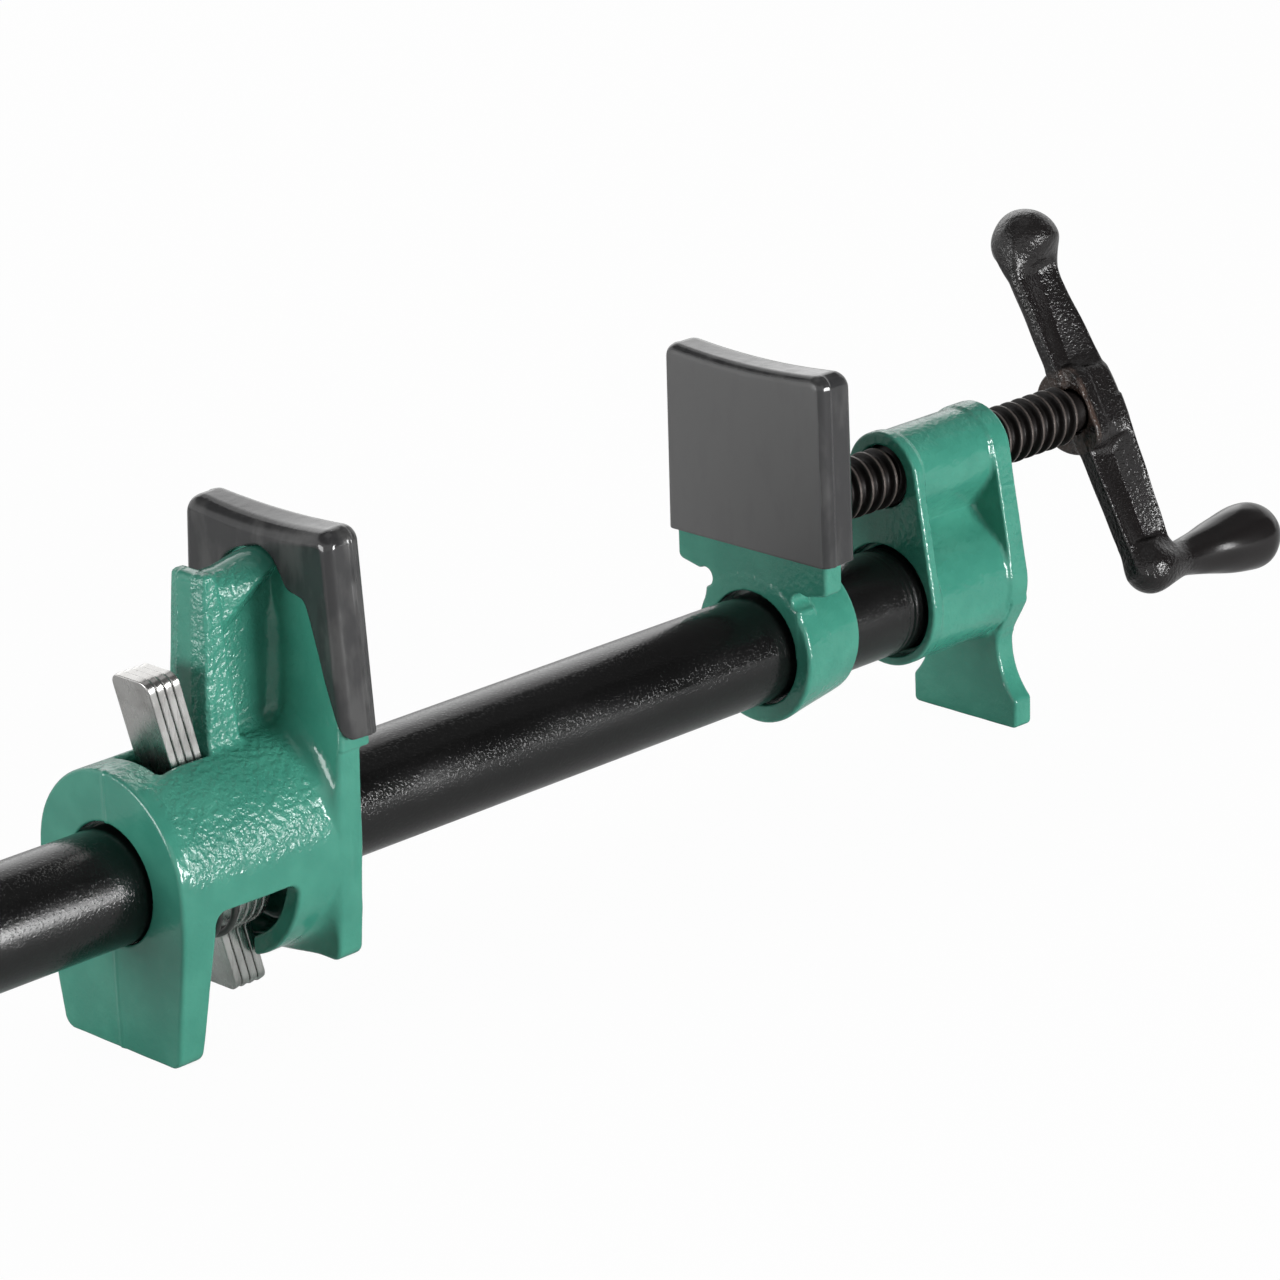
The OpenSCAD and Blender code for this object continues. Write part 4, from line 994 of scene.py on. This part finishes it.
# %% Green enamel
enamel = Finish("green_enamel", "green_enamel", IOR=1.5)
swells = enamel.noise(9.0)
grain = enamel.mask("grain")
relief = enamel.noise(1.7).between(0.32, 0.68) * 0.85 + enamel.noise(0.6) * 0.15
enamel.set(
    Base_Color=enamel.blend(swells.between(0.35, 0.7), srgb(59, 132, 114), srgb(66, 140, 121)),
    Roughness=(swells * 0.06 + 0.09) + grain * 0.16,
    Normal=enamel.bump(relief * (grain * 0.52 + 0.08) + swells * 0.4, 0.42))

# %% [markdown]
# ## Grey vinyl
# The faces that clamp the work are matt and a little chalky. Elsewhere the vinyl kept the gloss of
# the dip, with long runs down its sides.

# %% Grey vinyl
vinyl = Finish("grey_vinyl", "grey_vinyl", IOR=1.5)
face = vinyl.mask("face")
runs = vinyl.noise(3.5, stretch=(1.0, 1.0, 0.16))
smears = vinyl.noise(5.0, 3.0, stretch=(1.0, 1.0, 0.4))
bloom = smears.between(0.42, 0.68) * (1.0 - face)
vinyl.set(
    Base_Color=vinyl.blend(face, vinyl.blend(bloom, srgb(50, 50, 51), srgb(66, 66, 66)),
                           srgb(89, 89, 89)),
    Roughness=face * 0.36 + smears.between(0.45, 0.7, 0.10, 0.24),
    Normal=vinyl.bump(runs * (1.0 - face), 0.07))

# %% [markdown]
# ## Black pipe
# Mill lacquer over scale: black, half gloss, with faint lines from rolling, lumps and scratches.

# %% Black pipe
lacquer = Finish("black_pipe_lacquer", "black_iron_pipe", IOR=1.5)
rolling = lacquer.noise(2.2, 3.0, stretch=(0.12, 1.0, 1.0))
lumps = lacquer.noise(0.6, 3.0)
patches = lacquer.noise(16.0, 3.0, stretch=(0.5, 1.0, 1.0))
nicks = lacquer.noise(5.0, 4.0, stretch=(0.35, 1.0, 1.0))
lacquer.set(
    Base_Color=lacquer.blend(nicks.between(0.74, 0.78), srgb(13, 13, 13), srgb(96, 92, 88)),
    Roughness=patches.between(0.35, 0.7, 0.13, 0.24) + rolling * 0.04,
    Normal=lacquer.bump(rolling * 0.12 + lumps.between(0.50, 0.75), 0.03))

# %% [markdown]
# ## Crank, screw, plates, spring and pins
# The crank is painted thinly over rough iron, and rust has coloured the hub. The screw is oiled
# black, and its crests are painted lighter: partly wear, partly a painted highlight where the
# crests catch the light. The plates are bright strip with mill lines along it.

# %% Crank finish
paint = Finish("crank_black", "black_crank", IOR=1.46)
coarse, grit = paint.noise(1.1, 3.0), paint.noise(0.5)
smooth_grip = paint.mask("grip")
rust = paint.mask("hub") * paint.noise(4.0, 3.0).between(0.3, 0.6)
paint.set(
    Base_Color=paint.blend(rust, srgb(26, 24, 24), srgb(68, 55, 49)),
    Roughness=coarse * 0.10 * (1.0 - smooth_grip) + smooth_grip * 0.12 + 0.07,
    Normal=paint.bump((coarse + grit * 0.5) * (1.0 - smooth_grip * 0.95), 0.27))

# %% Screw finish
oiled = Finish("screw_black_oxide", "black_steel_screw", Metallic=0.4, IOR=1.5)
# Painted highlight along the crests, partly wear: a lighter colour where the crests catch the light.
crest_wear_and_highlight = oiled.mask("crest") * oiled.noise(3.0).between(0.2, 0.6, 0.6, 1.0)
oiled.set(
    Base_Color=oiled.blend(crest_wear_and_highlight, srgb(25, 21, 20), srgb(84, 76, 72)),
    Roughness=oiled.noise(1.5) * 0.2 + 0.32,
    Normal=oiled.bump(oiled.noise(0.5), 0.03))

# %% Bright steel
bright = Finish("plate_bright_steel", "plate_steel", Metallic=1.0)
lines = bright.noise(1.2, 3.0, stretch=(1.0, 1.0, 0.08))
stains = bright.noise(9.0, 4.0).between(0.45, 0.75)
bright.set(
    Base_Color=bright.blend(stains, srgb(196, 195, 193), srgb(168, 166, 164)),
    Roughness=lines * 0.18 + 0.18,
    Normal=bright.bump(lines, 0.01))

# %% Spring and pin steel
for name, slot, metal, lump, dark, light, rough_lump, rough in (
        ("spring_dark_steel", "spring_steel", 0.8, 3.0, (70, 70, 70), (100, 98, 96), 2.0, 0.25),
        ("roll_pin_steel", "pin_steel", 1.0, 1.0, (120, 120, 120), (160, 158, 155), 0.8, 0.3)):
    steel = Finish(name, slot, Metallic=metal)
    steel.set(Base_Color=steel.blend(steel.noise(lump), srgb(*dark), srgb(*light)),
              Roughness=steel.noise(rough_lump) * 0.2 + rough)

# %% [markdown]
# ## Stage and light
# A pale floor under the sole, and a white world that only the camera and reflections see at full
# strength. Four soft boxes give the gloss its shapes, at a level where colours look as written.
# A photographer hangs a black flag, so that round gloss black metal shows a dark band between two
# pale ones, under a dark ceiling. Here both are soft dark patches of the world, for reflections.

# %% Floor
FLOOR_WHITE = 0.97          # how much of the floor's own white the camera sees
floor_mesh = bpy.data.meshes.new("floor")
floor_mesh.from_pydata([(-5, -5, 0), (5, -5, 0), (5, 5, 0), (-5, 5, 0)], [], [(0, 1, 2, 3)])
floor = bpy.data.objects.new("floor", floor_mesh)
bpy.context.scene.collection.objects.link(floor)
pieces["stage"] = [floor]
paper = Finish("floor_paper", "stage", Roughness=0.9, Base_Color=(0.90, 0.90, 0.90, 1))
seen = paper.node("LightPath", out="Is Camera Ray") * FLOOR_WHITE
lifted = paper.node("MixShader", (), (
    seen, paper.surface, paper.node("Emission")))
paper.node("OutputMaterial", {"is_active_output": True}, (lifted,))

# %% World
AMBIENT = 0.20
FLAG = Vector((0.66, -0.68, 0.33)).normalized()     # towards the middle of the black flag
FLAG_EDGE = math.cos(math.radians(38)), math.cos(math.radians(26))
CEILING_EDGE = 0.48, 0.66   # the height of a direction, where 1 is straight up
world = bpy.data.worlds.new("white_studio")
bpy.context.scene.world = world
world.use_nodes = True
sky = Board(world.node_tree)
ray = sky.node("TexCoord", out="Generated")
flag, ceiling = (sky.node("VectorMath", {"operation": "DOT_PRODUCT"}, (ray, way), "Value")
                 for way in (FLAG, (0, 0, 1)))
dark = flag.between(*FLAG_EDGE).either(ceiling.between(*CEILING_EDGE) * 0.9)
seen, glossy, through = (sky.node("LightPath", out=f"Is {kind} Ray")
                         for kind in ("Camera", "Glossy", "Transmission"))
mirrored = glossy.either(through)
strength = seen.either(mirrored * (1.0 - dark * 0.96)).either(AMBIENT * (1.0 - mirrored))
backdrop = sky.node("Background", inputs={"Color": (1, 1, 1, 1), "Strength": strength})
sky.node("OutputWorld", {"is_active_output": True}, (backdrop,))

# %% Lamps
CENTRE = Vector((-0.14, 0, 0.08))
for name, way, size, watts in (
        ("left_box", Vector((-0.97, 0.23, 0.06)) * 1.35, 0.75, 15.0),
        ("front_box", Vector((0.27, -0.96, 0.06)) * 1.3, 0.5, 22.0),
        ("top_box", Vector((0.0, 0.1, 1.3)), 0.9, 1.2),
        ("back_box", Vector((0.7, 1.1, 0.75)), 1.3, 5.0)):
    lamp = bpy.data.lights.new(name, "AREA")
    lamp.size, lamp.energy = size, watts
    hung = bpy.data.objects.new(name, lamp)
    hung.location = CENTRE + way
    hung.rotation_euler = (-way).to_track_quat("-Z", "Y").to_euler()
    hung.visible_camera = False
    bpy.context.scene.collection.objects.link(hung)
    print(f"{name}: {watts} W, {way.length:.2f} m from the clamp")

# %% [markdown]
# ## Camera
# It looks down the pipe from the tail's side, with a long lens.

# %% Camera
CAMERA_PLACE = (-0.91886, -0.82535, 0.45129)
AZIMUTH, ELEVATION, ROLL = math.radians(44.16), math.radians(19.18), math.radians(-2.09)
optics = bpy.data.cameras.new("camera")
optics.sensor_fit, optics.sensor_width, optics.lens = "HORIZONTAL", 36, 144.48
optics.clip_end = 50
camera = bpy.data.objects.new("camera", optics)
camera.matrix_world = (Matrix.Translation(CAMERA_PLACE) @ Matrix.Rotation(-AZIMUTH, 4, "Z")
                       @ Matrix.Rotation(math.pi / 2 - ELEVATION, 4, "X")
                       @ Matrix.Rotation(ROLL, 4, "Z"))
bpy.context.scene.collection.objects.link(camera)
bpy.context.scene.camera = camera
bpy.context.scene.view_settings.view_transform = "Standard"
print(f"lens {optics.lens:.1f} mm, {Vector(CAMERA_PLACE).length:.2f} m from the origin")
